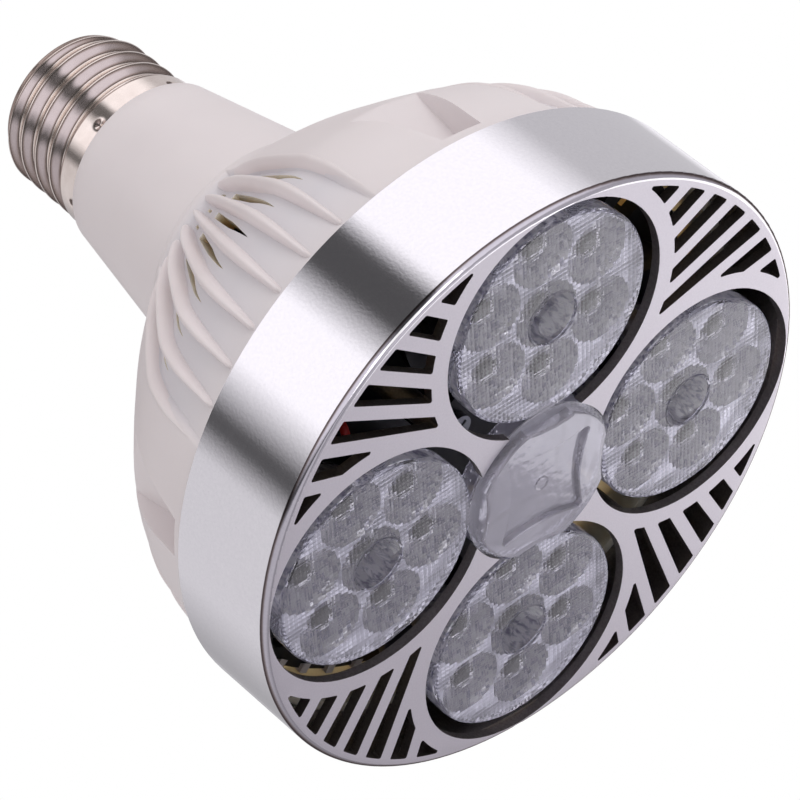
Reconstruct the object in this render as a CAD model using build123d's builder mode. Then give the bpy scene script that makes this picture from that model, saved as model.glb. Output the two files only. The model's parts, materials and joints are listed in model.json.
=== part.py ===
from build123d import *
import math
import os

os.makedirs("parts", exist_ok=True)

# LED spot lamp with a screw cap, standing on its lens hub, cap upwards. Millimetres.
# Heights are counted from the lamp's front face, which is lifted by HUB_PROUD.

# Front cover
HUB_PROUD = 1.2
FACE_RADIUS = 47.5
RING_REAR_RADIUS = 47.8
RING_LENGTH = 18.0
RING_BORE = 46.0
FACE_THICKNESS = 1.5
FACE_ROUND = 1.0
BOSS_CENTRE = 24.6
BOSS_RADIUS = 1.9

# Lens wells, and the vents between them
WELL_CENTRE = 28.1
WELL_RADIUS = 18.45
HUB_OPENING = 12.5
VENT_OUTER_RADIUS = 45.8
VENT_WELL_RADIUS = 21.1
VENT_INNER_RADIUS = 20.0
VENT_ROUND = 0.3
WEB_WIDTH = 2.1
WEB_LENGTH = 32.0
WEB_FIRST_ANGLE = 29.0
WEB_STEP = 7.0
WEB_LEANS = (56.5, 57.0, 60.5, 65.5, 70.5, 75.0)

# Lens moulding
DISC_RADIUS = 16.3
DISC_TOP = 0.5
DISC_BOTTOM = 3.5
LENSLET_PITCH = 10.6
LENSLET_RADIUS = 5.1
LENSLET_FOOT = 2.9
LENSLET_TWIST = 8.5
CAVITY_RADIUS = 2.25
CAVITY_DEPTH = 4.2
HUB_RADIUS = 11.6
HUB_SIDE_RADIUS = 17.7
HUB_BASE_RADIUS = 12.2
RECESS_RADIUS = 9.9
RECESS_SIDE_RADIUS = 21.9
RECESS_DEPTH = 0.9
TAB_REACH = 19.5
TAB_WIDTH = 8.0
TAB_THICKNESS = 1.5
TAB_TURNS = {0: (-54,), 90: (54,), 180: (-54, 73), 270: (54, -73)}

# Light engine
BOARD_TOP = 10.7
BOARD_THICKNESS = 1.6
BOARD_LOBE = 17.0
BOARD_CENTRE = 13.0
BOARD_SCREW_CENTRE = 9.5
LED_SIZE = 2.8
LED_BASE = 0.45
LED_WINDOW_RADIUS = 1.2
LED_WINDOW = 0.2

# Screws
SCREW_RADIUS = 1.0
SCREW_CLEARANCE = 1.2
SCREW_HEAD_RADIUS = 1.8
SCREW_HEAD = 1.3
SCREW_BITE = 7.0
SCREW_HOLE = 8.0
DRIVE_SLOT = (2.4, 0.5)
DRIVE_DEPTH = 0.6

# Heat sink
SINK_LOBE = 15.0
SINK_DISC_LEVEL = 19.6
SINK_DISC_THICKNESS = 2.2
SINK_DISC_RADIUS = 43.8
SINK_NOTCH_RADIUS = 39.0
SINK_NOTCH_WIDTH = 15.0
SINK_VENT_CENTRE = 35.5
SINK_VENT = (12.0, 4.4)
SINK_VENT_ANGLES = (33.75, 45.0, 56.25)
FIN_COUNT = 32
FIN_THICKNESS = 1.0
FIN_INNER_RADIUS = 16.0
FIN_OUTER_RADIUS = 38.0
FIN_TOP = 33.5
FAN_POST_RADIUS = 3.0

# Cooling fan
FAN_LEVEL = 35.5
FAN_DEPTH = 10.0
FAN_RADIUS = 25.0
FAN_BORE = 23.4
FAN_SCREW_CENTRE = 28.5
FAN_EAR_RADIUS = 3.4
FAN_EAR_THICKNESS = 3.0
FAN_PLATE_RADIUS = 11.0
FAN_PLATE_THICKNESS = 1.2
FAN_SPOKE_WIDTH = 3.0
BEARING_LEVEL = 39.2
BEARING_RADIUS = 2.6
BEARING_TUBE_RADIUS = 3.4
SHAFT_RADIUS = 1.0
SHAFT_CLEARANCE = 0.03
ROTOR_LEVEL = 36.3
ROTOR_ROOF = 1.2
ROTOR_RADIUS = 11.6
ROTOR_BORE = 10.6
ROTOR_REAR = 43.6
MAGNET_BORE = 9.2
MAGNET_LENGTH = 5.4
STATOR_RADIUS = 8.4
STATOR_LENGTH = 3.2
BLADE_COUNT = 7
BLADE_TIP = 22.7
BLADE_REACH = 4.2
BLADE_RISE = 6.4
BLADE_THICKNESS = 1.1

# Housing: bell outline from ring to neck, ribs, scoops and neck
BELL_OUTLINE = [(47.0, 18.0), (46.1, 23.0), (44.7, 29.0), (42.4, 35.0), (38.9, 40.0)]
BELL_OUTLINE += [(35.0, 45.0), (30.9, 50.0), (25.9, 55.5), (18.7, 63.0)]
VALLEY_OUTLINE = [(46.7, 20.0), (44.2, 28.0), (40.6, 35.0), (34.9, 42.0)]
VALLEY_OUTLINE += [(28.2, 50.0), (21.8, 57.0), (19.0, 61.5)]
LINER_OUTLINE = [(44.4, 18.0), (43.6, 24.0), (42.2, 28.0), (38.7, 35.0), (33.1, 42.0)]
LINER_OUTLINE += [(26.4, 50.0), (20.0, 57.0), (17.4, 61.0), (16.95, 63.0)]
BULGE_LINER = [(44.0, 23.0), (43.2, 28.0), (40.2, 35.0), (35.1, 42.0), (28.6, 50.0)]
BULGE_LINER += [(21.8, 57.0), (18.4, 61.0)]
BULGE_ANGLES = (9.4, 17.8)
NECK_TOP = 89.0
NECK_TOP_RADIUS = 14.4
NECK_BORE = 12.7
SPIGOT_LEVEL = 16.8
SPIGOT_RADIUS = 45.95
CAP_SPIGOT_RADIUS = 12.8
CAP_SPIGOT_BORE = 10.4
CAP_SPIGOT_STEP = 93.0
CAP_SPIGOT_END = 98.0
RIB_COUNT = 8
RIB_PITCH = 7.3
RIB_ANGLE = 3.1
SLOT_START = 33.2
SLOT_WAIST = 39.0
SLOT_END = 52.0
SLOT_WIDTH = 1.5
SCOOP_FRONT = 20.5
SCOOP_REAR = 38.0
SCOOP_FLOOR = 41.2
SCOOP_FRONT_WIDTH = 6.6
SCOOP_REAR_WIDTH = 11.0
SCOOP_WALL = 1.6
SCOOP_FRONT_WALL = 0.8

# Screw cap of the 27 mm class
SKIRT_RADIUS = 13.35
SKIRT_TOP = 93.4
THREAD_ROOT = 12.2
THREAD_CREST = 13.2
THREAD_PITCH = 3.63
THREAD_TURNS = 2.9
THREAD_LEVEL = 94.3
CAP_BORE = 11.7
CAP_RIM_LEVEL = 109.6
CAP_RIM_RADIUS = 10.6
CONTACT_RADIUS = 4.8
CONTACT_LEVEL = 113.4
STEM_RADIUS = 1.2
LAMP_TOP = 115.5

# Driver
SLEEVE_FRONT = 48.5
SLEEVE_REAR = 87.0
SLEEVE_RADIUS = 12.0
SLEEVE_WALL = 0.8
SLEEVE_OPENING = 7.6
SLEEVE_FLANGE_RADIUS = 16.8
SLEEVE_FLANGE_LEVEL = 62.0
DRIVER_FRONT = 50.5
DRIVER_REAR = 86.5
DRIVER_WIDTH = 19.6
DRIVER_THICKNESS = 1.4
DRIVER_FACE = -3.2
TRANSFORMER_LEVEL = 62.5
TRANSFORMER_DEPTH = 10.0
TRANSFORMER_SIZE = (13.0, 12.0)
TRANSFORMER_LEG = 4.0
BOBBIN_SIZE = (9.0, 8.0)
UPRIGHT_PARTS = {"input_capacitor": (4.0, 12.5, -4.5, 69.5), "choke": (3.6, 8.0, 4.6, 71.0)}
LYING_PARTS = {"output_capacitor": (3.0, 10.0, 53.3), "fuse_resistor": (1.4, 8.0, 84.5)}
FLAT_PARTS = {"bridge_rectifier": (4.8, 2.4, 5.0, 78.0), "controller_chip": (4.0, 1.6, 5.0, 64.0)}

# Wires
WIRE_RADIUS = 0.6
FAN_LEAD_RADIUS = 0.8
WIRE_LANE = 33.0
WIRE_LANE_ANGLES = {"red": -56.25, "black": -33.75}

SECTION = Plane(origin=(0, 0, HUB_PROUD), x_dir=(1, 0, 0), z_dir=(0, -1, 0))
QUARTERS = (0, 90, 180, 270)


def level(height):
    """Plane across the lamp at a height above the front face."""
    return Plane.XY.offset(HUB_PROUD + height)


def save(builder, name):
    """Label a finished piece and write it."""
    builder.part.label = name
    export_step(builder.part, f"parts/{name}.step")


def polar(radius, angle):
    """Point at a radius and an angle in degrees."""
    turn = math.radians(angle)
    return (radius * math.cos(turn), radius * math.sin(turn))


def lenslet_centres(quarter):
    """Centres of the seven lenslets of one well, whose ring is twisted either way in turn."""
    twist = -LENSLET_TWIST if quarter % 180 == 0 else LENSLET_TWIST
    middle = Vector(*polar(WELL_CENTRE, quarter))
    ring = [Vector(*polar(LENSLET_PITCH, quarter + twist + 60 * step)) for step in range(6)]
    return [middle] + [middle + offset for offset in ring]


def outline_face(points, closing):
    """Face bounded by a smooth outline through points and the straight runs that close it."""
    with BuildLine() as outline:
        Spline(*points)
        Polyline(points[-1], *closing, points[0])
    make_face(outline.edges())


def wedge(points, closing, start, sweep_angle):
    """Solid swept about the lamp's axis from a start angle, under an outline."""
    with BuildPart() as solid:
        with BuildSketch(SECTION):
            outline_face(points, closing)
        revolve(axis=Axis.Z, revolution_arc=sweep_angle)
    turned = solid.part.rotate(Axis.Z, start)
    return turned


def screws(head_level, head_side, centre, start_angle):
    """Four screws in a ring, with their heads above (1) or below (-1) the clamped face."""
    with BuildPart() as ring:
        with BuildSketch(level(head_level)):
            with PolarLocations(centre, 4, start_angle=start_angle):
                Circle(SCREW_HEAD_RADIUS)
        extrude(amount=head_side * SCREW_HEAD)
        with BuildSketch(level(head_level)):
            with PolarLocations(centre, 4, start_angle=start_angle):
                Circle(SCREW_RADIUS)
        extrude(amount=-head_side * SCREW_BITE)
        with BuildSketch(level(head_level + head_side * SCREW_HEAD)):
            with PolarLocations(centre, 4, start_angle=start_angle):
                Rectangle(*DRIVE_SLOT)
                Rectangle(*reversed(DRIVE_SLOT))
        extrude(amount=-head_side * DRIVE_DEPTH, mode=Mode.SUBTRACT)
    return ring


def bend_radii(points):
    """Largest bend that each corner of a wire's route leaves room for."""
    radii = []
    for before, corner, after in zip(points, points[1:], points[2:]):
        run_in = Vector(*corner) - Vector(*before)
        run_out = Vector(*after) - Vector(*corner)
        half_turn = math.radians(run_in.get_angle(run_out)) / 2
        radii.append(0.45 * min(run_in.length, run_out.length) / math.tan(half_turn))
    return radii


def wire(points, radius):
    """Round insulated wire along straight runs joined by tangent bends."""
    raised = [(x, y, HUB_PROUD + height) for x, y, height in points]
    with BuildPart() as lead:
        with BuildLine() as route:
            FilletPolyline(*raised, radius=bend_radii(raised))
        with BuildSketch(Plane(origin=route.line @ 0, z_dir=route.line % 0)):
            Circle(radius)
        sweep()
    return lead


# Vent openings of one quarter of the face: a field between two wells, parted by slanted webs
with BuildSketch() as vent_field:
    Circle(VENT_OUTER_RADIUS)
    Rectangle(50, 50, align=(Align.MIN, Align.MIN), mode=Mode.INTERSECT)
    Circle(VENT_INNER_RADIUS, mode=Mode.SUBTRACT)
    with Locations((WELL_CENTRE, 0), (0, WELL_CENTRE)):
        Circle(VENT_WELL_RADIUS, mode=Mode.SUBTRACT)
    for number, lean in enumerate(WEB_LEANS):
        foot = polar(VENT_OUTER_RADIUS + 1, WEB_FIRST_ANGLE + WEB_STEP * number)
        with Locations(Location((foot[0], foot[1], 0), (0, 0, lean))):
            Rectangle(WEB_LENGTH, WEB_WIDTH, align=(Align.MAX, Align.CENTER), mode=Mode.SUBTRACT)
    offset(amount=-VENT_ROUND, mode=Mode.REPLACE)
    offset(amount=VENT_ROUND, kind=Kind.ARC, mode=Mode.REPLACE)

# Front cover: ring and face turned from one aluminium casting, with lens wells and vents
with BuildPart() as front_cover:
    with BuildSketch(SECTION):
        with BuildLine():
            Line((0, 0), (FACE_RADIUS - FACE_ROUND, 0))
            TangentArc((FACE_RADIUS - FACE_ROUND, 0), (FACE_RADIUS, FACE_ROUND), tangent=(1, 0))
            Polyline(
                (FACE_RADIUS, FACE_ROUND),
                (RING_REAR_RADIUS, RING_LENGTH),
                (RING_BORE, RING_LENGTH),
                (RING_BORE, FACE_THICKNESS),
                (0, FACE_THICKNESS),
                (0, 0),
            )
        make_face()
    revolve(axis=Axis.Z)
    with BuildSketch(level(0)):
        with PolarLocations(WELL_CENTRE, 4):
            Circle(WELL_RADIUS)
        Circle(HUB_OPENING)
        add(vent_field.sketch)
        add(vent_field.sketch.rotate(Axis.Z, 90))
        mirror(about=Plane.XZ)
    extrude(amount=FACE_THICKNESS, mode=Mode.SUBTRACT)
    with BuildSketch(level(FACE_THICKNESS)):
        with PolarLocations(BOSS_CENTRE, 4, start_angle=45):
            Circle(BOSS_RADIUS)
    extrude(amount=SINK_DISC_LEVEL - FACE_THICKNESS)
    with BuildSketch(level(SINK_DISC_LEVEL)):
        with PolarLocations(BOSS_CENTRE, 4, start_angle=45):
            Circle(SCREW_RADIUS)
    extrude(amount=-SCREW_HOLE, mode=Mode.SUBTRACT)
save(front_cover, "front_cover")

# Lens moulding: four discs of seven light guides, joined by a raised hub with a star recess
with BuildPart() as lens_array:
    with BuildSketch(level(DISC_TOP)):
        with PolarLocations(WELL_CENTRE, 4):
            Circle(DISC_RADIUS)
        Circle(HUB_BASE_RADIUS)
    extrude(amount=DISC_BOTTOM - DISC_TOP)
    with BuildSketch(level(FACE_THICKNESS)):
        for quarter, turns in TAB_TURNS.items():
            centre = polar(WELL_CENTRE, quarter)
            for turn in turns:
                with Locations(Location((centre[0], centre[1], 0), (0, 0, quarter + turn))):
                    Rectangle(TAB_REACH, TAB_WIDTH, align=(Align.MIN, Align.CENTER))
    extrude(amount=TAB_THICKNESS)
    for quarter in QUARTERS:
        for centre in lenslet_centres(quarter):
            with Locations((centre.X, centre.Y, HUB_PROUD + DISC_BOTTOM)):
                Cone(
                    LENSLET_RADIUS,
                    LENSLET_FOOT,
                    BOARD_TOP - DISC_BOTTOM,
                    align=(Align.CENTER, Align.CENTER, Align.MIN),
                )
    with BuildSketch(level(BOARD_TOP)):
        for quarter in QUARTERS:
            with Locations(*lenslet_centres(quarter)):
                Circle(CAVITY_RADIUS)
    extrude(amount=-CAVITY_DEPTH, mode=Mode.SUBTRACT)
    with BuildSketch(level(-HUB_PROUD)):
        Circle(HUB_RADIUS)
        with PolarLocations(WELL_CENTRE, 4):
            Circle(HUB_SIDE_RADIUS, mode=Mode.SUBTRACT)
    extrude(amount=HUB_PROUD + DISC_TOP)
    with BuildSketch(level(-HUB_PROUD)):
        Circle(RECESS_RADIUS)
        with PolarLocations(WELL_CENTRE, 4):
            Circle(RECESS_SIDE_RADIUS, mode=Mode.SUBTRACT)
    extrude(amount=RECESS_DEPTH, mode=Mode.SUBTRACT)
save(lens_array, "lens_array")

# Metal-core board under the lenses
with BuildPart() as led_board:
    with BuildSketch(level(BOARD_TOP)):
        with PolarLocations(WELL_CENTRE, 4):
            Circle(BOARD_LOBE)
        Circle(BOARD_CENTRE)
        with PolarLocations(BOARD_SCREW_CENTRE, 4, start_angle=45):
            Circle(SCREW_CLEARANCE, mode=Mode.SUBTRACT)
    extrude(amount=BOARD_THICKNESS)
save(led_board, "led_board")

# One LED under each light guide
for quarter in QUARTERS:
    for number, centre in enumerate(lenslet_centres(quarter), start=1):
        with BuildPart() as led:
            with BuildSketch(level(BOARD_TOP)):
                with Locations(centre):
                    Rectangle(LED_SIZE, LED_SIZE)
            extrude(amount=-LED_BASE)
            with BuildSketch(level(BOARD_TOP - LED_BASE)):
                with Locations(centre):
                    Circle(LED_WINDOW_RADIUS)
            extrude(amount=-LED_WINDOW)
        save(led, f"led_{quarter // 90 + 1}_{number}")

save(screws(BOARD_TOP, -1, BOARD_SCREW_CENTRE, 45), "board_screws")

# Black anodised heat sink: pedestals towards the board, a vented disc and fins towards the fan
with BuildPart() as heat_sink:
    with BuildSketch(level(BOARD_TOP + BOARD_THICKNESS)):
        with PolarLocations(WELL_CENTRE, 4):
            Circle(SINK_LOBE)
        Circle(BOARD_CENTRE)
    extrude(amount=SINK_DISC_LEVEL - BOARD_TOP - BOARD_THICKNESS)
    with BuildSketch(level(SINK_DISC_LEVEL)):
        Circle(SINK_DISC_RADIUS)
        with PolarLocations(SINK_NOTCH_RADIUS, 4):
            Rectangle(
                10, SINK_NOTCH_WIDTH, align=(Align.MIN, Align.CENTER), mode=Mode.SUBTRACT
            )
        with PolarLocations(BOSS_CENTRE, 4, start_angle=45):
            Circle(SCREW_CLEARANCE, mode=Mode.SUBTRACT)
        for angle in SINK_VENT_ANGLES:
            with PolarLocations(SINK_VENT_CENTRE, 4, start_angle=angle):
                SlotOverall(*SINK_VENT, mode=Mode.SUBTRACT)
    extrude(amount=SINK_DISC_THICKNESS)
    with BuildSketch(level(SINK_DISC_LEVEL + SINK_DISC_THICKNESS)):
        with PolarLocations(FIN_INNER_RADIUS, FIN_COUNT, start_angle=180 / FIN_COUNT):
            Rectangle(
                FIN_OUTER_RADIUS - FIN_INNER_RADIUS,
                FIN_THICKNESS,
                align=(Align.MIN, Align.CENTER),
            )
    extrude(amount=FIN_TOP - SINK_DISC_LEVEL - SINK_DISC_THICKNESS)
    with BuildSketch(level(SINK_DISC_LEVEL + SINK_DISC_THICKNESS)):
        with PolarLocations(FAN_SCREW_CENTRE, 4):
            Circle(FAN_POST_RADIUS)
    extrude(amount=FAN_LEVEL - SINK_DISC_LEVEL - SINK_DISC_THICKNESS)
    with BuildSketch(level(FAN_LEVEL)):
        with PolarLocations(FAN_SCREW_CENTRE, 4):
            Circle(SCREW_RADIUS)
    extrude(amount=-SCREW_HOLE, mode=Mode.SUBTRACT)
    with BuildSketch(level(BOARD_TOP + BOARD_THICKNESS)):
        with PolarLocations(BOARD_SCREW_CENTRE, 4, start_angle=45):
            Circle(SCREW_RADIUS)
    extrude(amount=SCREW_HOLE, mode=Mode.SUBTRACT)
save(heat_sink, "heat_sink")

save(screws(SINK_DISC_LEVEL + SINK_DISC_THICKNESS, 1, BOSS_CENTRE, 45), "cover_screws")

# Fan frame: round duct with four ears, a spoked plate at the rear and the bearing tube
with BuildPart() as fan_frame:
    with BuildSketch(level(FAN_LEVEL)):
        Circle(FAN_RADIUS)
        Circle(FAN_BORE, mode=Mode.SUBTRACT)
    extrude(amount=FAN_DEPTH)
    with BuildSketch(level(FAN_LEVEL)):
        with PolarLocations(FAN_SCREW_CENTRE, 4):
            Circle(FAN_EAR_RADIUS)
            Rectangle(5, 2 * FAN_EAR_RADIUS, align=(Align.MAX, Align.CENTER))
            Circle(SCREW_CLEARANCE, mode=Mode.SUBTRACT)
        Circle(FAN_BORE, mode=Mode.SUBTRACT)
    extrude(amount=FAN_EAR_THICKNESS)
    with BuildSketch(level(FAN_LEVEL + FAN_DEPTH)):
        Circle(FAN_PLATE_RADIUS)
        with PolarLocations(0, 4, start_angle=45):
            Rectangle(
                FAN_BORE + 0.8, FAN_SPOKE_WIDTH, align=(Align.MIN, Align.CENTER)
            )
        Circle(BEARING_RADIUS, mode=Mode.SUBTRACT)
    extrude(amount=-FAN_PLATE_THICKNESS)
    with BuildSketch(level(BEARING_LEVEL)):
        Circle(BEARING_TUBE_RADIUS)
        Circle(BEARING_RADIUS, mode=Mode.SUBTRACT)
    extrude(amount=FAN_LEVEL + FAN_DEPTH - BEARING_LEVEL)
save(fan_frame, "fan_frame")

save(screws(FAN_LEVEL + FAN_EAR_THICKNESS, 1, FAN_SCREW_CENTRE, 0), "fan_screws")

# Sleeve bearing in the fan's tube
with BuildPart() as fan_bearing:
    with BuildSketch(level(BEARING_LEVEL)):
        Circle(BEARING_RADIUS)
        Circle(SHAFT_RADIUS + SHAFT_CLEARANCE, mode=Mode.SUBTRACT)
    extrude(amount=FAN_LEVEL + FAN_DEPTH - BEARING_LEVEL)
save(fan_bearing, "fan_bearing")

# Four-pole stator pressed on the bearing tube
with BuildPart() as fan_stator:
    with BuildSketch(level(BEARING_LEVEL + 1.2)):
        Circle(STATOR_RADIUS)
        Circle(STATOR_RADIUS - 1.2, mode=Mode.SUBTRACT)
        with PolarLocations(0, 4, start_angle=45):
            Rectangle(STATOR_RADIUS + 1, 1.6, align=(Align.MIN, Align.CENTER), mode=Mode.SUBTRACT)
        with PolarLocations(0, 4):
            Rectangle(STATOR_RADIUS - 0.5, 2.6, align=(Align.MIN, Align.CENTER))
        Circle(BEARING_TUBE_RADIUS + 1.6)
        Circle(BEARING_TUBE_RADIUS, mode=Mode.SUBTRACT)
    extrude(amount=STATOR_LENGTH)
save(fan_stator, "fan_stator")

# Rotor: cup with curved blades, its magnet ring and its shaft
with BuildPart() as fan_rotor:
    with BuildSketch(level(ROTOR_LEVEL)):
        Circle(ROTOR_RADIUS)
    extrude(amount=ROTOR_REAR - ROTOR_LEVEL)
    for number in range(BLADE_COUNT):
        turn = 360 / BLADE_COUNT * number
        foot = polar(ROTOR_BORE - 1.4, turn)
        blade_plane = Plane(
            origin=(foot[0], foot[1], HUB_PROUD + (ROTOR_LEVEL + ROTOR_REAR) / 2),
            x_dir=(-math.sin(math.radians(turn)), math.cos(math.radians(turn)), 0),
            z_dir=(foot[0], foot[1], 0),
        )
        with BuildSketch(blade_plane):
            with BuildLine() as camber:
                ThreePointArc(
                    (-BLADE_REACH, -BLADE_RISE / 2), (-0.6, 0.9), (BLADE_REACH, BLADE_RISE / 2)
                )
                offset(amount=BLADE_THICKNESS, side=Side.LEFT)
            make_face()
        extrude(amount=BLADE_TIP)
    with BuildSketch(level(ROTOR_LEVEL)):
        Circle(BLADE_TIP)
    extrude(amount=ROTOR_REAR - ROTOR_LEVEL, mode=Mode.INTERSECT)
    with BuildSketch(level(ROTOR_LEVEL + ROTOR_ROOF)):
        Circle(ROTOR_BORE)
        Circle(BEARING_RADIUS, mode=Mode.SUBTRACT)
    extrude(amount=ROTOR_REAR, mode=Mode.SUBTRACT)
    with BuildSketch(level(BEARING_LEVEL - 0.5)):
        Circle(BEARING_RADIUS)
    extrude(amount=ROTOR_REAR, mode=Mode.SUBTRACT)
    with BuildSketch(level(ROTOR_LEVEL + 0.4)):
        Circle(SHAFT_RADIUS)
    extrude(amount=ROTOR_REAR, mode=Mode.SUBTRACT)
save(fan_rotor, "fan_rotor")

with BuildPart() as rotor_magnet:
    with BuildSketch(level(ROTOR_LEVEL + ROTOR_ROOF)):
        Circle(ROTOR_BORE)
        Circle(MAGNET_BORE, mode=Mode.SUBTRACT)
    extrude(amount=MAGNET_LENGTH)
save(rotor_magnet, "rotor_magnet")

with BuildPart() as rotor_shaft:
    with BuildSketch(level(ROTOR_LEVEL + 0.4)):
        Circle(SHAFT_RADIUS)
    extrude(amount=FAN_LEVEL + FAN_DEPTH - 0.5 - ROTOR_LEVEL - 0.4)
save(rotor_shaft, "rotor_shaft")

# Outside of the housing before its vents are cut: bell, neck and the spigots at both ends
with BuildPart() as housing_form:
    with BuildSketch(SECTION):
        with BuildLine():
            Spline(*BELL_OUTLINE, tangents=[(-0.12, 1), (-1, 1)])
            Polyline(
                BELL_OUTLINE[-1],
                (NECK_TOP_RADIUS, NECK_TOP),
                (CAP_SPIGOT_RADIUS, NECK_TOP),
                (CAP_SPIGOT_RADIUS, CAP_SPIGOT_STEP),
                (CAP_BORE - 0.1, CAP_SPIGOT_STEP),
                (CAP_BORE - 0.1, CAP_SPIGOT_END),
                (0, CAP_SPIGOT_END),
                (0, SPIGOT_LEVEL),
                (SPIGOT_RADIUS, SPIGOT_LEVEL),
                (SPIGOT_RADIUS, BELL_OUTLINE[0][1]),
                BELL_OUTLINE[0],
            )
        make_face()
    revolve(axis=Axis.Z)

# Blind pockets of the four scoops, and the blocks that they are sunk into
with BuildPart() as scoop_pocket:
    with BuildSketch(Plane.YZ.offset(SCOOP_FLOOR)):
        Polygon(
            (-SCOOP_FRONT_WIDTH / 2, HUB_PROUD + SCOOP_FRONT),
            (SCOOP_FRONT_WIDTH / 2, HUB_PROUD + SCOOP_FRONT),
            (SCOOP_REAR_WIDTH / 2, HUB_PROUD + SCOOP_REAR),
            (-SCOOP_REAR_WIDTH / 2, HUB_PROUD + SCOOP_REAR),
            align=None,
        )
    extrude(amount=10)

with BuildPart() as scoop_block:
    with BuildSketch(Plane.YZ.offset(SCOOP_FLOOR - SCOOP_WALL)):
        Polygon(
            (-SCOOP_FRONT_WIDTH / 2 - SCOOP_WALL, HUB_PROUD + SCOOP_FRONT - SCOOP_FRONT_WALL),
            (SCOOP_FRONT_WIDTH / 2 + SCOOP_WALL, HUB_PROUD + SCOOP_FRONT - SCOOP_FRONT_WALL),
            (SCOOP_REAR_WIDTH / 2 + SCOOP_WALL, HUB_PROUD + SCOOP_REAR + SCOOP_WALL),
            (-SCOOP_REAR_WIDTH / 2 - SCOOP_WALL, HUB_PROUD + SCOOP_REAR + SCOOP_WALL),
            align=None,
        )
    extrude(amount=10)
    add(housing_form.part, mode=Mode.INTERSECT)

# Long vent between two ribs: pointed at the front, square near the neck
with BuildPart() as vent_slot:
    with BuildSketch(Plane.YZ.offset(NECK_BORE)):
        Polygon(
            (0, HUB_PROUD + SLOT_START),
            (SLOT_WIDTH / 2, HUB_PROUD + SLOT_WAIST),
            (SLOT_WIDTH / 2, HUB_PROUD + SLOT_END),
            (-SLOT_WIDTH / 2, HUB_PROUD + SLOT_END),
            (-SLOT_WIDTH / 2, HUB_PROUD + SLOT_WAIST),
            align=None,
        )
    extrude(amount=FACE_RADIUS)

# Housing: white moulding of bell and neck, with ribs standing between sunk, vented valleys
valley_closing = [(FACE_RADIUS + 5, VALLEY_OUTLINE[-1][1]), (FACE_RADIUS + 5, VALLEY_OUTLINE[0][1])]
valley = wedge(VALLEY_OUTLINE, valley_closing, RIB_ANGLE / 2, RIB_PITCH - RIB_ANGLE)
bulge_closing = [(10, BULGE_LINER[-1][1]), (10, BULGE_LINER[0][1])]
bulge_hollow = wedge(BULGE_LINER, bulge_closing, 0, BULGE_ANGLES[1] - BULGE_ANGLES[0])
first_rib = 45 - RIB_PITCH * (RIB_COUNT - 1) / 2
ribs = [
    quarter + first_rib + RIB_PITCH * number
    for quarter in QUARTERS
    for number in range(RIB_COUNT - 1)
]
with BuildPart() as rear_housing:
    add(housing_form.part)
    add([valley.rotate(Axis.Z, rib) for rib in ribs], mode=Mode.SUBTRACT)
    with BuildSketch(SECTION):
        outline_face(
            LINER_OUTLINE,
            [
                (NECK_BORE, NECK_TOP - 1),
                (CAP_SPIGOT_BORE, NECK_TOP),
                (CAP_SPIGOT_BORE, CAP_SPIGOT_END + 1),
                (0, CAP_SPIGOT_END + 1),
                (0, SPIGOT_LEVEL - 1),
                (LINER_OUTLINE[0][0], SPIGOT_LEVEL - 1),
            ],
        )
    revolve(axis=Axis.Z, mode=Mode.SUBTRACT)
    for side in (BULGE_ANGLES[0], -BULGE_ANGLES[1]):
        hollows = [bulge_hollow.rotate(Axis.Z, quarter + side) for quarter in QUARTERS]
        add(hollows, mode=Mode.SUBTRACT)
    add([scoop_block.part.rotate(Axis.Z, quarter) for quarter in QUARTERS])
    add([scoop_pocket.part.rotate(Axis.Z, quarter) for quarter in QUARTERS], mode=Mode.SUBTRACT)
    slots = [vent_slot.part.rotate(Axis.Z, rib + RIB_PITCH / 2) for rib in ribs]
    add(slots, mode=Mode.SUBTRACT)
save(rear_housing, "rear_housing")

# Cap shell: plated sheet with a smooth skirt and a rolled thread
with BuildPart() as cap_shell:
    with BuildSketch(SECTION):
        with BuildLine():
            Polyline(
                (CAP_SPIGOT_RADIUS, NECK_TOP),
                (SKIRT_RADIUS, NECK_TOP),
                (SKIRT_RADIUS, SKIRT_TOP),
                (THREAD_ROOT, THREAD_LEVEL),
                (THREAD_ROOT, CAP_RIM_LEVEL - 2.2),
            )
            TangentArc(
                (THREAD_ROOT, CAP_RIM_LEVEL - 2.2),
                (CAP_RIM_RADIUS, CAP_RIM_LEVEL),
                tangent=(0, 1),
            )
            Polyline(
                (CAP_RIM_RADIUS, CAP_RIM_LEVEL),
                (CAP_RIM_RADIUS - 0.6, CAP_RIM_LEVEL - 0.6),
                (CAP_BORE, CAP_RIM_LEVEL - 2.4),
                (CAP_BORE, CAP_SPIGOT_STEP),
                (CAP_SPIGOT_RADIUS, CAP_SPIGOT_STEP),
                (CAP_SPIGOT_RADIUS, NECK_TOP),
            )
        make_face()
    revolve(axis=Axis.Z)
    with BuildLine() as thread_path:
        Helix(
            pitch=THREAD_PITCH,
            height=THREAD_PITCH * THREAD_TURNS,
            radius=THREAD_ROOT,
            center=(0, 0, HUB_PROUD + THREAD_LEVEL + THREAD_PITCH / 2),
        )
    with BuildSketch(Plane(origin=thread_path.line @ 0, z_dir=thread_path.line % 0)):
        Circle(THREAD_CREST - THREAD_ROOT)
    sweep(path=thread_path.line, is_frenet=True)
    with BuildSketch(level(CAP_SPIGOT_STEP)):
        Circle(CAP_BORE)
    extrude(amount=CAP_RIM_LEVEL - 2.4 - CAP_SPIGOT_STEP, mode=Mode.SUBTRACT)
save(cap_shell, "cap_shell")

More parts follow.
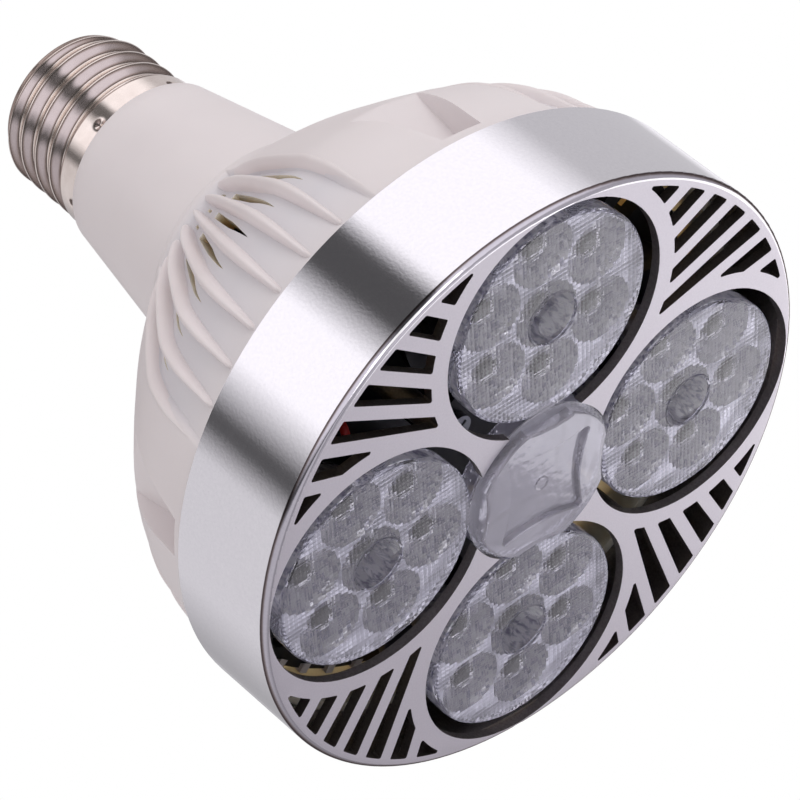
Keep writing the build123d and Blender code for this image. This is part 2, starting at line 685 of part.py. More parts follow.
# Insulator closing the cap, and the centre contact riveted through it
with BuildPart() as cap_insulator:
    with BuildSketch(SECTION):
        with BuildLine():
            Polyline(
                (CAP_RIM_RADIUS, CAP_RIM_LEVEL),
                (CAP_RIM_RADIUS - 0.6, CAP_RIM_LEVEL - 0.6),
                (CAP_RIM_RADIUS - 1.2, CAP_RIM_LEVEL - 2.2),
                (STEM_RADIUS, CAP_RIM_LEVEL - 2.2),
                (STEM_RADIUS, CONTACT_LEVEL),
                (CONTACT_RADIUS + 0.4, CONTACT_LEVEL),
            )
            ThreePointArc(
                (CONTACT_RADIUS + 0.4, CONTACT_LEVEL),
                (8.7, CONTACT_LEVEL - 1.6),
                (CAP_RIM_RADIUS, CAP_RIM_LEVEL),
            )
        make_face()
    revolve(axis=Axis.Z)
save(cap_insulator, "cap_insulator")

with BuildPart() as cap_contact:
    with BuildSketch(SECTION):
        with BuildLine():
            Polyline(
                (2.4, LAMP_TOP),
                (0, LAMP_TOP),
                (0, CAP_RIM_LEVEL - 3.0),
                (STEM_RADIUS, CAP_RIM_LEVEL - 3.0),
                (STEM_RADIUS, CONTACT_LEVEL),
                (CONTACT_RADIUS, CONTACT_LEVEL),
                (CONTACT_RADIUS, CONTACT_LEVEL + 0.6),
            )
            ThreePointArc(
                (CONTACT_RADIUS, CONTACT_LEVEL + 0.6),
                (4.05, LAMP_TOP - 0.5),
                (2.4, LAMP_TOP),
            )
        make_face()
    revolve(axis=Axis.Z)
save(cap_contact, "cap_contact")

# Insulating sleeve around the driver, with a lip in front and a collar that meets the neck
with BuildPart() as driver_sleeve:
    with BuildSketch(level(SLEEVE_FRONT)):
        Circle(SLEEVE_RADIUS)
    extrude(amount=SLEEVE_REAR - SLEEVE_FRONT)
    with BuildSketch(level(SLEEVE_FLANGE_LEVEL)):
        Circle(SLEEVE_FLANGE_RADIUS)
    extrude(amount=SLEEVE_WALL)
    with BuildSketch(level(SLEEVE_FRONT)):
        Circle(SLEEVE_OPENING)
    extrude(amount=SLEEVE_WALL, mode=Mode.SUBTRACT)
    with BuildSketch(level(SLEEVE_FRONT + SLEEVE_WALL)):
        Circle(SLEEVE_RADIUS - SLEEVE_WALL)
    extrude(amount=SLEEVE_REAR - SLEEVE_FRONT, mode=Mode.SUBTRACT)
save(driver_sleeve, "driver_sleeve")

# Driver board, standing on edge in the sleeve
with BuildPart() as driver_board:
    with Locations((0, DRIVER_FACE, HUB_PROUD + DRIVER_FRONT)):
        Box(
            DRIVER_WIDTH,
            DRIVER_THICKNESS,
            DRIVER_REAR - DRIVER_FRONT,
            align=(Align.CENTER, Align.MAX, Align.MIN),
        )
save(driver_board, "driver_board")

# Transformer: ferrite frame with a middle leg, and the wound bobbin around that leg
with BuildPart() as transformer_core:
    with BuildSketch(Plane.XZ.offset(-TRANSFORMER_DEPTH - DRIVER_FACE)):
        with Locations((0, HUB_PROUD + TRANSFORMER_LEVEL)):
            Rectangle(*TRANSFORMER_SIZE)
            Rectangle(*BOBBIN_SIZE, mode=Mode.SUBTRACT)
            Rectangle(TRANSFORMER_LEG, TRANSFORMER_SIZE[1])
    extrude(amount=TRANSFORMER_DEPTH - 3)
save(transformer_core, "transformer_core")

with BuildPart() as transformer_bobbin:
    with BuildSketch(Plane.XZ.offset(-DRIVER_FACE)):
        with Locations((0, HUB_PROUD + TRANSFORMER_LEVEL)):
            Rectangle(*BOBBIN_SIZE)
    extrude(amount=-TRANSFORMER_DEPTH - 2)
    with BuildSketch(Plane.XZ.offset(-TRANSFORMER_DEPTH - DRIVER_FACE)):
        with Locations((0, HUB_PROUD + TRANSFORMER_LEVEL)):
            Rectangle(TRANSFORMER_LEG, TRANSFORMER_SIZE[1])
    extrude(amount=TRANSFORMER_DEPTH - 3, mode=Mode.SUBTRACT)
save(transformer_bobbin, "transformer_bobbin")

# Round parts standing along the board, each given by radius, length, x and front height
for name, (radius, length, across, front) in UPRIGHT_PARTS.items():
    with BuildPart() as upright:
        with BuildSketch(level(front)):
            with Locations((across, DRIVER_FACE + radius)):
                Circle(radius)
        extrude(amount=length)
    save(upright, name)

# Round parts lying across the board, each given by radius, length and height
for name, (radius, length, height) in LYING_PARTS.items():
    with BuildPart() as lying:
        with BuildSketch(Plane.YZ):
            with Locations((DRIVER_FACE + radius, HUB_PROUD + height)):
                Circle(radius)
        extrude(amount=length / 2, both=True)
    save(lying, name)

# Flat packages on the back of the board, each given by width, thickness, length and height
for name, (width, thickness, length, height) in FLAT_PARTS.items():
    with BuildPart() as package:
        with Locations((0, DRIVER_FACE - DRIVER_THICKNESS, HUB_PROUD + height)):
            Box(width, thickness, length, align=(Align.CENTER, Align.MAX, Align.CENTER))
    save(package, name)

# Mains leads from the board to the contact and to the cap shell
board_lead_y = DRIVER_FACE + WIRE_RADIUS
live_route = [(7.6, board_lead_y, 84.0), (7.6, board_lead_y, 90.0), (4.0, -0.6, 97.0)]
live_route += [(0, 0, 102.0), (0, 0, CAP_RIM_LEVEL - 3.0)]
save(wire(live_route, WIRE_RADIUS), "live_wire")
neutral_route = [(-7.6, board_lead_y, 84.0), (-7.6, board_lead_y, 92.0), (-8.0, 0, 99.5)]
neutral_route += [(CAP_BORE - 11.7 - 9.2, 0, 102.0), (WIRE_RADIUS - CAP_BORE, 0, 104.5)]
save(wire(neutral_route, WIRE_RADIUS), "neutral_wire")

# LED leads: out of the sleeve, down beside the fan, through the heat sink, up to the board
back_lead_y = DRIVER_FACE - DRIVER_THICKNESS - WIRE_RADIUS
for name, angle in WIRE_LANE_ANGLES.items():
    start_x = 0.9 if name == "red" else 3.0
    bow = polar(WIRE_LANE + 2.0, angle)
    pad = polar(WIRE_LANE, angle + (-5.7 if name == "red" else 5.7))
    route = [(start_x, back_lead_y, 54.0), (start_x, back_lead_y, 47.1)]
    route += [polar(27.2, angle) + (46.6,), polar(28.2, angle) + (40.0,)]
    route += [polar(WIRE_LANE, angle) + (30.0,), polar(WIRE_LANE, angle) + (14.0,)]
    route += [bow + (7.0,), pad + (6.8,), pad + (BOARD_TOP,)]
    save(wire(route, WIRE_RADIUS), f"led_wire_{name}")

# Lead of the fan, from the board to the plate behind the rotor
fan_lead_y = DRIVER_FACE - DRIVER_THICKNESS - FAN_LEAD_RADIUS
fan_route = [(-3.4, fan_lead_y, 54.0), (-3.4, fan_lead_y, 49.0)]
fan_route += [(-5.6, -3.2, 47.6), (-5.6, -3.2, FAN_LEVEL + FAN_DEPTH)]
save(wire(fan_route, FAN_LEAD_RADIUS), "fan_lead")
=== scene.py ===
import json
import math

import bmesh
import bpy
import numpy as np
from mathutils import Matrix, Vector
from mathutils.geometry import tessellate_polygon


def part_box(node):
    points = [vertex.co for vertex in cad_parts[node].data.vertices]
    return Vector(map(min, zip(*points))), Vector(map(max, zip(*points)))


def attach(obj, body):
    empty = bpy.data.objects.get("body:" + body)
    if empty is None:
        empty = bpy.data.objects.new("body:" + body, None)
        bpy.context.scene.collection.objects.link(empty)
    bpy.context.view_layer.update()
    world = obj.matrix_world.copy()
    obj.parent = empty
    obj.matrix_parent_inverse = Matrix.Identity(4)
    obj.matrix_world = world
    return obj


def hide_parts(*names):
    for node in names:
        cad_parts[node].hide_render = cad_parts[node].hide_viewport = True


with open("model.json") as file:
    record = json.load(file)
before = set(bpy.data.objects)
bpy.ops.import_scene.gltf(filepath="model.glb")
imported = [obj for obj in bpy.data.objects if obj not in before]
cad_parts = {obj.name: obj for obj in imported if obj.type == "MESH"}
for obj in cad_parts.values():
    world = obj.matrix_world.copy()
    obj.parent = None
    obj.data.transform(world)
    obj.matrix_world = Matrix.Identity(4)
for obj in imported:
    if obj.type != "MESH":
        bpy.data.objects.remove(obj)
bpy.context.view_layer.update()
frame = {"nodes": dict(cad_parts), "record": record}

# Sizes are in millimetres and angles in degrees. Heights are counted from the lamp's front face.
MM = 0.001
FACE_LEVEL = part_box("front_cover")[0].z
CAP_FOOT = (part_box("cap_shell")[0].z - FACE_LEVEL) / MM
QUARTERS = (0, 90, 180, 270)
DIAGONALS = (45, 135, 225, 315)

# Camera of the photograph, in the object's frame
CAMERA_PLACE = (309.55, -250.12, -249.18)
CAMERA_RIGHT = (0.04553, 0.76979, -0.63667)
CAMERA_UP = (0.76462, 0.38329, 0.51811)
CAMERA_BACK = (0.64287, -0.51040, -0.57115)
CAMERA_LENS = 155.68

# Lamp near the face, on the side where the face mirrors it, in the camera's axes
FACE_LAMP_TOWARDS = (0.922, -0.283, -0.265)

# Bell of the housing: crests, floor of the valleys, and inner wall, as heights and radii
BELL_REAR = 63.0
BELL = ((18, 47.0), (22, 46.3), (30, 44.6), (35, 42.4), (40, 38.9), (45, 35.0), (50, 30.9))
BELL += ((55, 26.2), (60, 21.2), (63, 18.7))
VALLEY = ((18, 46.7), (20, 46.0), (24, 44.85), (28, 43.7), (35, 40.5), (42, 34.9), (50, 28.2))
VALLEY += ((57, 21.9), (61, 19.3), (63, 18.2))
LINER = ((18, 44.4), (24, 43.6), (28, 42.2), (35, 38.7), (42, 33.1), (50, 26.4), (57, 20.0))
LINER += ((61, 17.4), (63, 17.0))
VALLEY_CLOSE = (60.2, 62.2)
NECK = ((BELL_REAR, 18.7), (CAP_FOOT, 14.4))
NECK_BORE = ((BELL_REAR, 17.0), (CAP_FOOT, 12.75))
NECK_EDGE = 0.35
WALL_MIN = 1.2
SPIGOT = ((44.4, 12.0), (45.95, 12.0), (45.95, 18.0))
CAP_SPIGOT = ((12.75, 93.0), (11.6, 93.0), (11.6, 98.0), (10.4, 98.0), (10.4, 89.0))

# Ribs, slots and scoops
RIBS = 8
RIB_PITCH = 7.3
RIB_HALF = 1.6
RIB_FOOT = 1.55
RIB_DEPTH = 3.2
RIB_LIFT = 0.25
RIB_NOSE = (58.6, 61.9)
RIB_TIP = 19.0
RIB_TIP_ROUND = 2.4
SLOT_POINT = 33.0
SLOT_FULL = 41.5
SLOT_END = 51.0
SLOT_HALF = 0.5
SLIT = (55.4, 57.2)
SLIT_HALF = 0.22
FIN_DEPTH = 5.0
FIN_HEIGHTS = (30.0, 33.5, 57.0, 60.0)
SCOOP_FRONT = 20.5
SCOOP_FLOOR = 41.2
SCOOP_SIDES = ((18, 3.25), (20.5, 3.25), (28, 4.5), (35, 5.5), (38.5, 5.9), (50, 4.6), (63, 2.6))
SCOOP_SIDES += ((89, 2.0),)

# Lens moulding
WELL_CENTRE = 28.1
DISC_RADIUS = 16.3
DISC_FRONT = 0.5
DISC_BACK = 3.5
DISC_ROUND = 0.55
# Rounding of the discs' edges, as shares of it across and back, and of the hub's, in millimetres
DISC_EDGE = ((1.0, 0.0), (0.62, 0.08), (0.29, 0.29), (0.08, 0.62), (0.0, 1.0))
HUB_EDGE = ((0.0, 0.3), (0.1, 0.1), (0.3, 0.0))
# Groove and low dome of the middle lenslet, as radii and heights from the disc's front
MIDDLE_LENSLET = ((4.35, 0.0), (4.23, -0.16), (4.05, -0.16), (3.9, 0.05), (2.6, -0.18))
MIDDLE_LENSLET += ((1.2, -0.27),)
LENSLET_PITCH = 10.6
LENSLET_TWIST = 8.5
LENSLET_SIDES = 30
GUIDE_RADIUS = 5.1
GUIDE_END = 10.6
GUIDE_SIDES = ((5.1, 3.5), (4.8, 5.0), (4.2, 7.0), (3.5, 9.0), (2.9, 10.6))
FACET_SEED = 7
FACET_LEAN = 0.024
FLUTE = 0.09
CAVITY_RADIUS = 2.2
CAVITY_ROOF = 6.5
HUB_BASE_RADIUS = 12.2
HUB_PROUD = 1.2
HUB_RADIUS = 11.6
HUB_SIDE_RADIUS = 17.7
RECESS_RADIUS = 9.9
RECESS_SIDE_RADIUS = 21.9
RECESS_DEPTH = 0.9
GATE_RADIUS = 1.15

# Ring and face
RING_RADIUS = 47.5
FACE_ROUND = 1.0

# Screw cap
SKIRT_RADIUS = 13.35
SKIRT_TOP = 93.4
THREAD_ROOT = 12.15
THREAD_DEPTH = 1.05
THREAD_PITCH = 3.63
THREAD_PHASE = 97.4
THREAD_RISE = (93.5, 95.0)
THREAD_FALL = (107.0, 108.6)
CAP_RIM = 109.4
CAP_BORE = 11.6
PUNCH_LEVEL = 90.5
PUNCH_FIRST = -38
PUNCHES = 6
PUNCH_REACH = 0.55
PUNCH_DEPTH = 0.5
CAP_ROUND = 0.9


# Shapes


def between(table, height):
    """Smooth value at a height, through a table of heights and values."""
    heights = [row[0] for row in table]
    values = [row[1] for row in table]
    slopes = np.gradient(values, heights)
    index = int(np.clip(np.searchsorted(heights, height) - 1, 0, len(heights) - 2))
    span = heights[index + 1] - heights[index]
    t = (height - heights[index]) / span
    start, end = values[index], values[index + 1]
    return (
        start * (1 + 2 * t) * (1 - t) ** 2
        + end * t * t * (3 - 2 * t)
        + slopes[index] * span * t * (1 - t) ** 2
        - slopes[index + 1] * span * t * t * (1 - t)
    )


def straight(table, height):
    return float(np.interp(height, [row[0] for row in table], [row[1] for row in table]))


def ramp(value, start, end):
    """Smooth step from 0 at start to 1 at end."""
    t = min(1.0, max(0.0, (value - start) / (end - start)))
    return t * t * (3 - 2 * t)


def spot(radius, angle, height):
    """Point from a radius, an angle and a height."""
    turn = math.radians(angle)
    return (radius * math.cos(turn), radius * math.sin(turn), height)


def mesh_object(name, points, faces, sides=None):
    """Object with this mesh, in metres in the object's frame. Sides number its materials."""
    mesh = bpy.data.meshes.new(name)
    mesh.from_pydata([(x * MM, y * MM, h * MM + FACE_LEVEL) for x, y, h in points], [], faces)
    if sides:
        mesh.polygons.foreach_set("material_index", sides)
    made = bpy.data.objects.new(name, mesh)
    bpy.context.scene.collection.objects.link(made)
    return made


def tidy_mesh(made, sharp_angle):
    """Weld doubles, point faces outwards, and shade smooth apart from sharp edges."""
    work = bmesh.new()
    work.from_mesh(made.data)
    bmesh.ops.remove_doubles(work, verts=work.verts, dist=1e-6)
    bmesh.ops.recalc_face_normals(work, faces=work.faces)
    work.to_mesh(made.data)
    work.free()
    made.data.shade_smooth()
    made.data.set_sharp_from_angle(angle=math.radians(sharp_angle))


def paint(made, *materials):
    for material in materials:
        made.data.materials.append(material)


def dress(made, slot, *nodes):
    """Fasten a piece to the lamp, in place of the nodes that it stands for."""
    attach(made, "lamp")
    if nodes:
        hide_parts(*nodes)


# Node trees

MATH = "ShaderNodeMath"
MIX = "ShaderNodeMix"


def linear(code):
    """Linear colour of an sRGB hex code."""
    shares = [int(code[start:start + 2], 16) / 255 for start in (0, 2, 4)]
    return [s / 12.92 if s < 0.04045 else ((s + 0.055) / 1.055) ** 2.4 for s in shares] + [1.0]


def add(tree, kind, inputs=None, **settings):
    """Add a node with its settings, and set or link its inputs."""
    made = tree.nodes.new(kind)
    for name, value in settings.items():
        setattr(made, name, value)
    for name, value in (inputs or {}).items():
        if isinstance(value, bpy.types.NodeSocket):
            tree.links.new(value, made.inputs[name])
        else:
            made.inputs[name].default_value = value
    return made


def new_material(name, **surface):
    """Material with a Principled surface. Returns the material, its tree and the shader."""
    made = bpy.data.materials.new(name)
    made.use_nodes = True
    tree = made.node_tree
    tree.nodes.clear()
    inputs = {label.replace("_", " "): value for label, value in surface.items()}
    shader = add(tree, "ShaderNodeBsdfPrincipled", inputs)
    add(tree, "ShaderNodeOutputMaterial", {"Surface": shader.outputs["BSDF"]})
    return made, tree, shader


def grain(tree, size, detail=2.0, stretch=(1, 1, 1)):
    """Noise with features of a real size, stretched along the axes."""
    vector = add(tree, "ShaderNodeTexCoord").outputs["Object"]
    if stretch != (1, 1, 1):
        squeezed = add(tree, "ShaderNodeMapping", {"Vector": vector, "Scale": stretch})
        vector = squeezed.outputs["Vector"]
    inputs = {"Vector": vector, "Scale": 1 / (size * MM), "Detail": detail}
    return add(tree, "ShaderNodeTexNoise", inputs).outputs["Fac"]


def fill_ramp(node, stops):
    """Give a colour ramp its stops, as pairs of a place and a linear colour."""
    elements = node.color_ramp.elements
    for number, (place, colour) in enumerate(stops):
        stop = elements[number] if number < 2 else elements.new(place)
        stop.position = place
        stop.color = colour


def finish_surface(tree, shader, tones=None, roughness=None, relief=None, depth=0.01):
    """Link two hex tones, a spread of roughness, and relief of a real depth to a shader."""
    if tones:
        factor, first, second = tones
        mix = add(tree, MIX, {0: factor, 6: linear(first), 7: linear(second)}, data_type="RGBA")
        tree.links.new(mix.outputs[2], shader.inputs["Base Color"])
    if roughness:
        factor, low, high = roughness
        spread = add(tree, "ShaderNodeMapRange", {"Value": factor, "To Min": low, "To Max": high})
        tree.links.new(spread.outputs["Result"], shader.inputs["Roughness"])
    if relief:
        raised = add(tree, "ShaderNodeBump", {"Height": relief, "Distance": depth * MM})
        tree.links.new(raised.outputs["Normal"], shader.inputs["Normal"])


def cross_hatch(tree, pitch):
    """Small square pillows in rows both ways across the face."""
    place = add(tree, "ShaderNodeTexCoord").outputs["Object"]
    turned_place = add(tree, "ShaderNodeMapping", {"Vector": place, "Rotation": (0, 0, 0.12)})
    apart = add(tree, "ShaderNodeSeparateXYZ", {0: turned_place.outputs[0]})
    waves = []
    for axis in (0, 1):
        phase = add(
            tree, MATH, {0: apart.outputs[axis], 1: 2 * math.pi / (pitch * MM)},
            operation="MULTIPLY",
        ).outputs[0]
        waves.append(add(tree, MATH, {0: phase}, operation="SINE").outputs[0])
    return add(tree, MATH, {0: waves[0], 1: waves[1]}, operation="ADD").outputs[0]


# Materials

# White polycarbonate, in which light soaks in about a millimetre
WHITE_PLASTIC = {
    "IOR": 1.585,
    "Subsurface_Weight": 0.12,
    "Subsurface_Radius": (1.0, 0.9, 0.85),
    "Subsurface_Scale": 0.0012,
}


def plain_finish(name, light, dark, roughness, size, depth, metallic=0.0, detail=2.0, **surface):
    """A finish of two near colours in a grain of a real size, with a fine relief.

    Its roughness is one value, or a low and a high one that follow the grain.
    """
    spread = isinstance(roughness, tuple)
    if not spread:
        surface["Roughness"] = roughness
    made, tree, shader = new_material(name, Metallic=metallic, **surface)
    specks = grain(tree, size, detail)
    spread_roughness = (specks, *roughness) if spread else None
    finish_surface(tree, shader, (specks, light, dark), spread_roughness, specks, depth)
    return made


def white_polycarbonate():
    """White polycarbonate, moulded: spark-eroded grain, and light that soaks in a little.

    The valleys between the ribs are painted a shade darker and bluer than the crests, the deeper
    the more: painted shade.
    """
    made, tree, shader = new_material(
        "white_polycarbonate_moulded", Roughness=0.46, **WHITE_PLASTIC
    )
    # Painted shade: how deep the valleys sink mixes in the darker, bluer valley colours
    valley_shade = add(tree, "ShaderNodeAttribute", attribute_name="valley_shade").outputs["Fac"]
    cloud = grain(tree, 14.0)
    crest, floor = (
        add(tree, MIX, {0: cloud, 6: linear(first), 7: linear(second)}, data_type="RGBA")
        for first, second in (("EAE3E4", "E2DADC"), ("E2DFE3", "D9D5DB"))
    )
    mix = add(tree, MIX, {0: valley_shade, 6: crest.outputs[2], 7: floor.outputs[2]}, data_type="RGBA")
    tree.links.new(mix.outputs[2], shader.inputs["Base Color"])
    # The real grain is 0.05 mm across, which is too fine to show, so it is drawn at 0.35 mm
    finish_surface(tree, shader, relief=grain(tree, 0.35, 3.0), depth=0.01)
    return made


def rib_polycarbonate():
    """The same moulding on the ribs, rubbed a little warmer and shinier by handling."""
    made, tree, shader = new_material(
        "white_polycarbonate_ribs", Roughness=0.40, **WHITE_PLASTIC
    )
    tones = (grain(tree, 9.0), "ECE4E5", "E3DADB")
    finish_surface(tree, shader, tones, relief=grain(tree, 0.35, 3.0), depth=0.008)
    return made


def slot_shade_polycarbonate():
    """Cut sides of the slots and the bell's inside: painted tan for the shade in there, warmed by
    light that soaks through the white plastic.
    """
    made, tree, shader = new_material(
        "polycarbonate_slot_sides_painted_shade",
        Roughness=0.5,
        IOR=1.585,
        Subsurface_Weight=1.0,
        Subsurface_Radius=(1.0, 0.88, 0.74),
        Subsurface_Scale=0.008,
    )
    # Tan tones that stand for the shade inside the slots and the bell: painted shade
    tones = (grain(tree, 4.0, 3.0), "E2D4BE", "CCBBA0")
    finish_surface(tree, shader, tones, relief=grain(tree, 0.3), depth=0.012)
    return made


def turned_aluminium():
    """Aluminium turned on a lathe: fine tool lines round the ring, which stretch highlights."""
    made, tree, shader = new_material("aluminium_turned", Metallic=1.0)
    # Real tool lines are 0.08 mm apart and glints 0.1 mm across, too fine to show as they are
    lines = grain(tree, 0.25, 3.0, stretch=(0.02, 0.02, 1.0))
    glints = grain(tree, 0.45, 1.0)
    tones = (glints, "F0EEF0", "E6E4E7")
    finish_surface(tree, shader, tones, (lines, 0.07, 0.12), glints, 0.0035)
    return made


def pillowed_acrylic():
    """Acrylic front of the discs, moulded in rows of small square pillows that spread light."""
    made, tree, shader = new_material(
        "acrylic_pillowed",
        Base_Color=linear("F2F1F8"),
        Roughness=0.02,
        IOR=1.49,
        Transmission_Weight=0.92,
    )
    # The real rows are about 0.5 mm apart, and are drawn at 0.7 mm so that they show
    finish_surface(tree, shader, relief=cross_hatch(tree, 0.7), depth=0.009)
    return made


def mirrored_acrylic():
    """Acrylic sides of the light guides, which mirror the light inside them; their colour has long
    painted streaks of light and shade.

    Part of the light scatters there, so the guides look milky and lilac.
    """
    made, tree, shader = new_material(
        "acrylic_total_reflection_painted_streaks",
        Metallic=0.6,
        IOR=1.49,
    )
    # Streaks 0.6 mm apart along the guide set its relief and roughness, and their white and lilac
    # grey tones are painted reflections of the light inside it
    streaks = grain(tree, 0.6, 2.0, stretch=(1, 1, 0.1))
    streak_light_and_shade = add(
        tree, "ShaderNodeMapRange", {"Value": streaks, "From Min": 0.46, "From Max": 0.66}
    ).outputs[0]
    # Painted reflections: white streaks on lilac grey
    tones = (streak_light_and_shade, "FFFEFF", "A4A2B7")
    finish_surface(tree, shader, tones, (streaks, 0.03, 0.14), streaks, 0.08)
    return made


def waffled_acrylic():
    """Acrylic back of the discs between the guides: a fine waffle that looks white and silvery."""
    made, tree, shader = new_material(
        "acrylic_waffled",
        Metallic=0.6,
        IOR=1.49,
        Transmission_Weight=0.3,
    )
    flow = grain(tree, 3.0, 2.0)
    tones = (flow, "DEDDE6", "BDBCC9")
    finish_surface(tree, shader, tones, (flow, 0.12, 0.3), cross_hatch(tree, 0.8), 0.02)
    return made


def polished_acrylic():
    """Acrylic moulded against polished steel: the discs' edges, clear with a lilac depth."""
    made, tree, shader = new_material(
        "acrylic_polished",
        Base_Color=linear("E4E3EC"),
        IOR=1.49,
        Transmission_Weight=1.0,
    )
    flow = grain(tree, 3.0, 1.0)
    finish_surface(tree, shader, None, (flow, 0.01, 0.05), flow, 0.02)
    return made


def hub_acrylic():
    """Acrylic, moulded thick: the hub looks lilac grey, for its depth scatters light."""
    made, tree, shader = new_material(
        "acrylic_thick_moulded",
        Roughness=0.08,
        Metallic=0.15,
        IOR=1.49,
        Transmission_Weight=0.66,
    )
    tones = (grain(tree, 5.0, 2.0), "E6E4EE", "D0CEDA")
    finish_surface(tree, shader, tones, relief=grain(tree, 2.5), depth=0.04)
    return made


# Bell and neck of the housing


def valley_floor(height):
    crest = between(BELL, height)
    left = 1 - ramp(height, *VALLEY_CLOSE)
    return crest - (crest - between(VALLEY, height)) * left


def slot_half(height):
    """Half width of the opening between two ribs at a height."""
    if height < SLOT_POINT:
        return 0.02 + 0.28 * ramp(-height, -SLOT_POINT + 0.5, -SLOT_POINT + 5)
    if height <= SLOT_END:
        opening = min(1.0, (height - SLOT_POINT) / (SLOT_FULL - SLOT_POINT))
        return 0.02 + (SLOT_HALF - 0.02) * opening ** 0.8
    return SLIT_HALF


def outer_radius(angle, height, margin=0.0):
    """Radius of the outside, at an angle from the nearest diagonal and a height."""
    if height >= BELL_REAR:
        return straight(NECK, height)
    crest = between(BELL, height)
    away = abs(angle)
    edge = RIB_PITCH * (RIBS - 1) / 2
    if away < edge:
        across = min(1.0, (edge - away) / RIB_HALF)
        return max(valley_floor(height), crest - RIB_DEPTH * (1 - math.sqrt(1 - across * across)))
    off_axis = math.radians(45 - away)
    half = straight(SCOOP_SIDES, height) + margin
    if height > SCOOP_FRONT - margin and crest * math.sin(off_axis) < half:
        return min(crest, SCOOP_FLOOR / math.cos(off_axis))
    return crest


def inner_radius(angle, height):
    if height >= BELL_REAR:
        return straight(NECK_BORE, height)
    wall = min(between(LINER, height), outer_radius(angle, height, WALL_MIN) - WALL_MIN)
    if abs(angle) > RIB_PITCH * (RIBS - 1) / 2:
        return wall
    fin = ramp(height, *FIN_HEIGHTS[:2]) * (1 - ramp(height, *FIN_HEIGHTS[2:]))
    return min(wall, valley_floor(height) - FIN_DEPTH * fin)


def column_angles(height):
    """Angles from a diagonal of the columns in a quarter of the bell, at a height."""
    radius = straight(NECK, height) if height >= BELL_REAR else between(BELL, height)
    side = 45 - math.degrees(math.asin(straight(SCOOP_SIDES, height) / radius))
    hair = math.degrees(0.03 / radius)
    edge = RIB_PITCH * (RIBS - 1) / 2
    half = [45 - (45 - side) * share for share in (0.0, 0.35, 0.7)]
    half += [side + hair, side - hair]
    half += [edge + (side - edge) * share for share in (0.85, 0.6, 0.3, 0.1, 0.0)]
    half += [edge - RIB_HALF * math.sin(math.radians(turn)) for turn in (6, 13, 21, 31, 44, 60, 90)]
    slot = math.degrees(slot_half(height) / valley_floor(min(height, BELL_REAR)))
    middle = []
    for number in range(RIBS - 1):
        centre = RIB_PITCH * (number - (RIBS - 2) / 2)
        middle += [centre - RIB_FOOT, centre - slot, centre + slot, centre + RIB_FOOT]
        if number < RIBS - 2:
            middle.append(centre + RIB_PITCH / 2)
    return [-angle for angle in half] + middle + half[:0:-1]


def bell_rows():
    """Heights of the rows of the bell and neck."""
    rows = [18.0, SCOOP_FRONT - WALL_MIN, SCOOP_FRONT - WALL_MIN + 0.05, SCOOP_FRONT]
    rows += list(np.linspace(SCOOP_FRONT + 0.05, SLOT_POINT, 16))
    rows += list(np.linspace(SLOT_POINT, SLOT_END, 24)[1:])
    rows += list(np.linspace(SLOT_END, SLIT[0], 5)[1:])
    rows += list(np.linspace(SLIT[0], SLIT[1], 3)[1:])
    rows += list(np.linspace(SLIT[1], VALLEY_CLOSE[0], 4)[1:])
    rows += list(np.linspace(VALLEY_CLOSE[0], BELL_REAR, 7)[1:])
    rows += list(np.linspace(BELL_REAR, CAP_FOOT - NECK_EDGE, 14)[1:])
    return rows


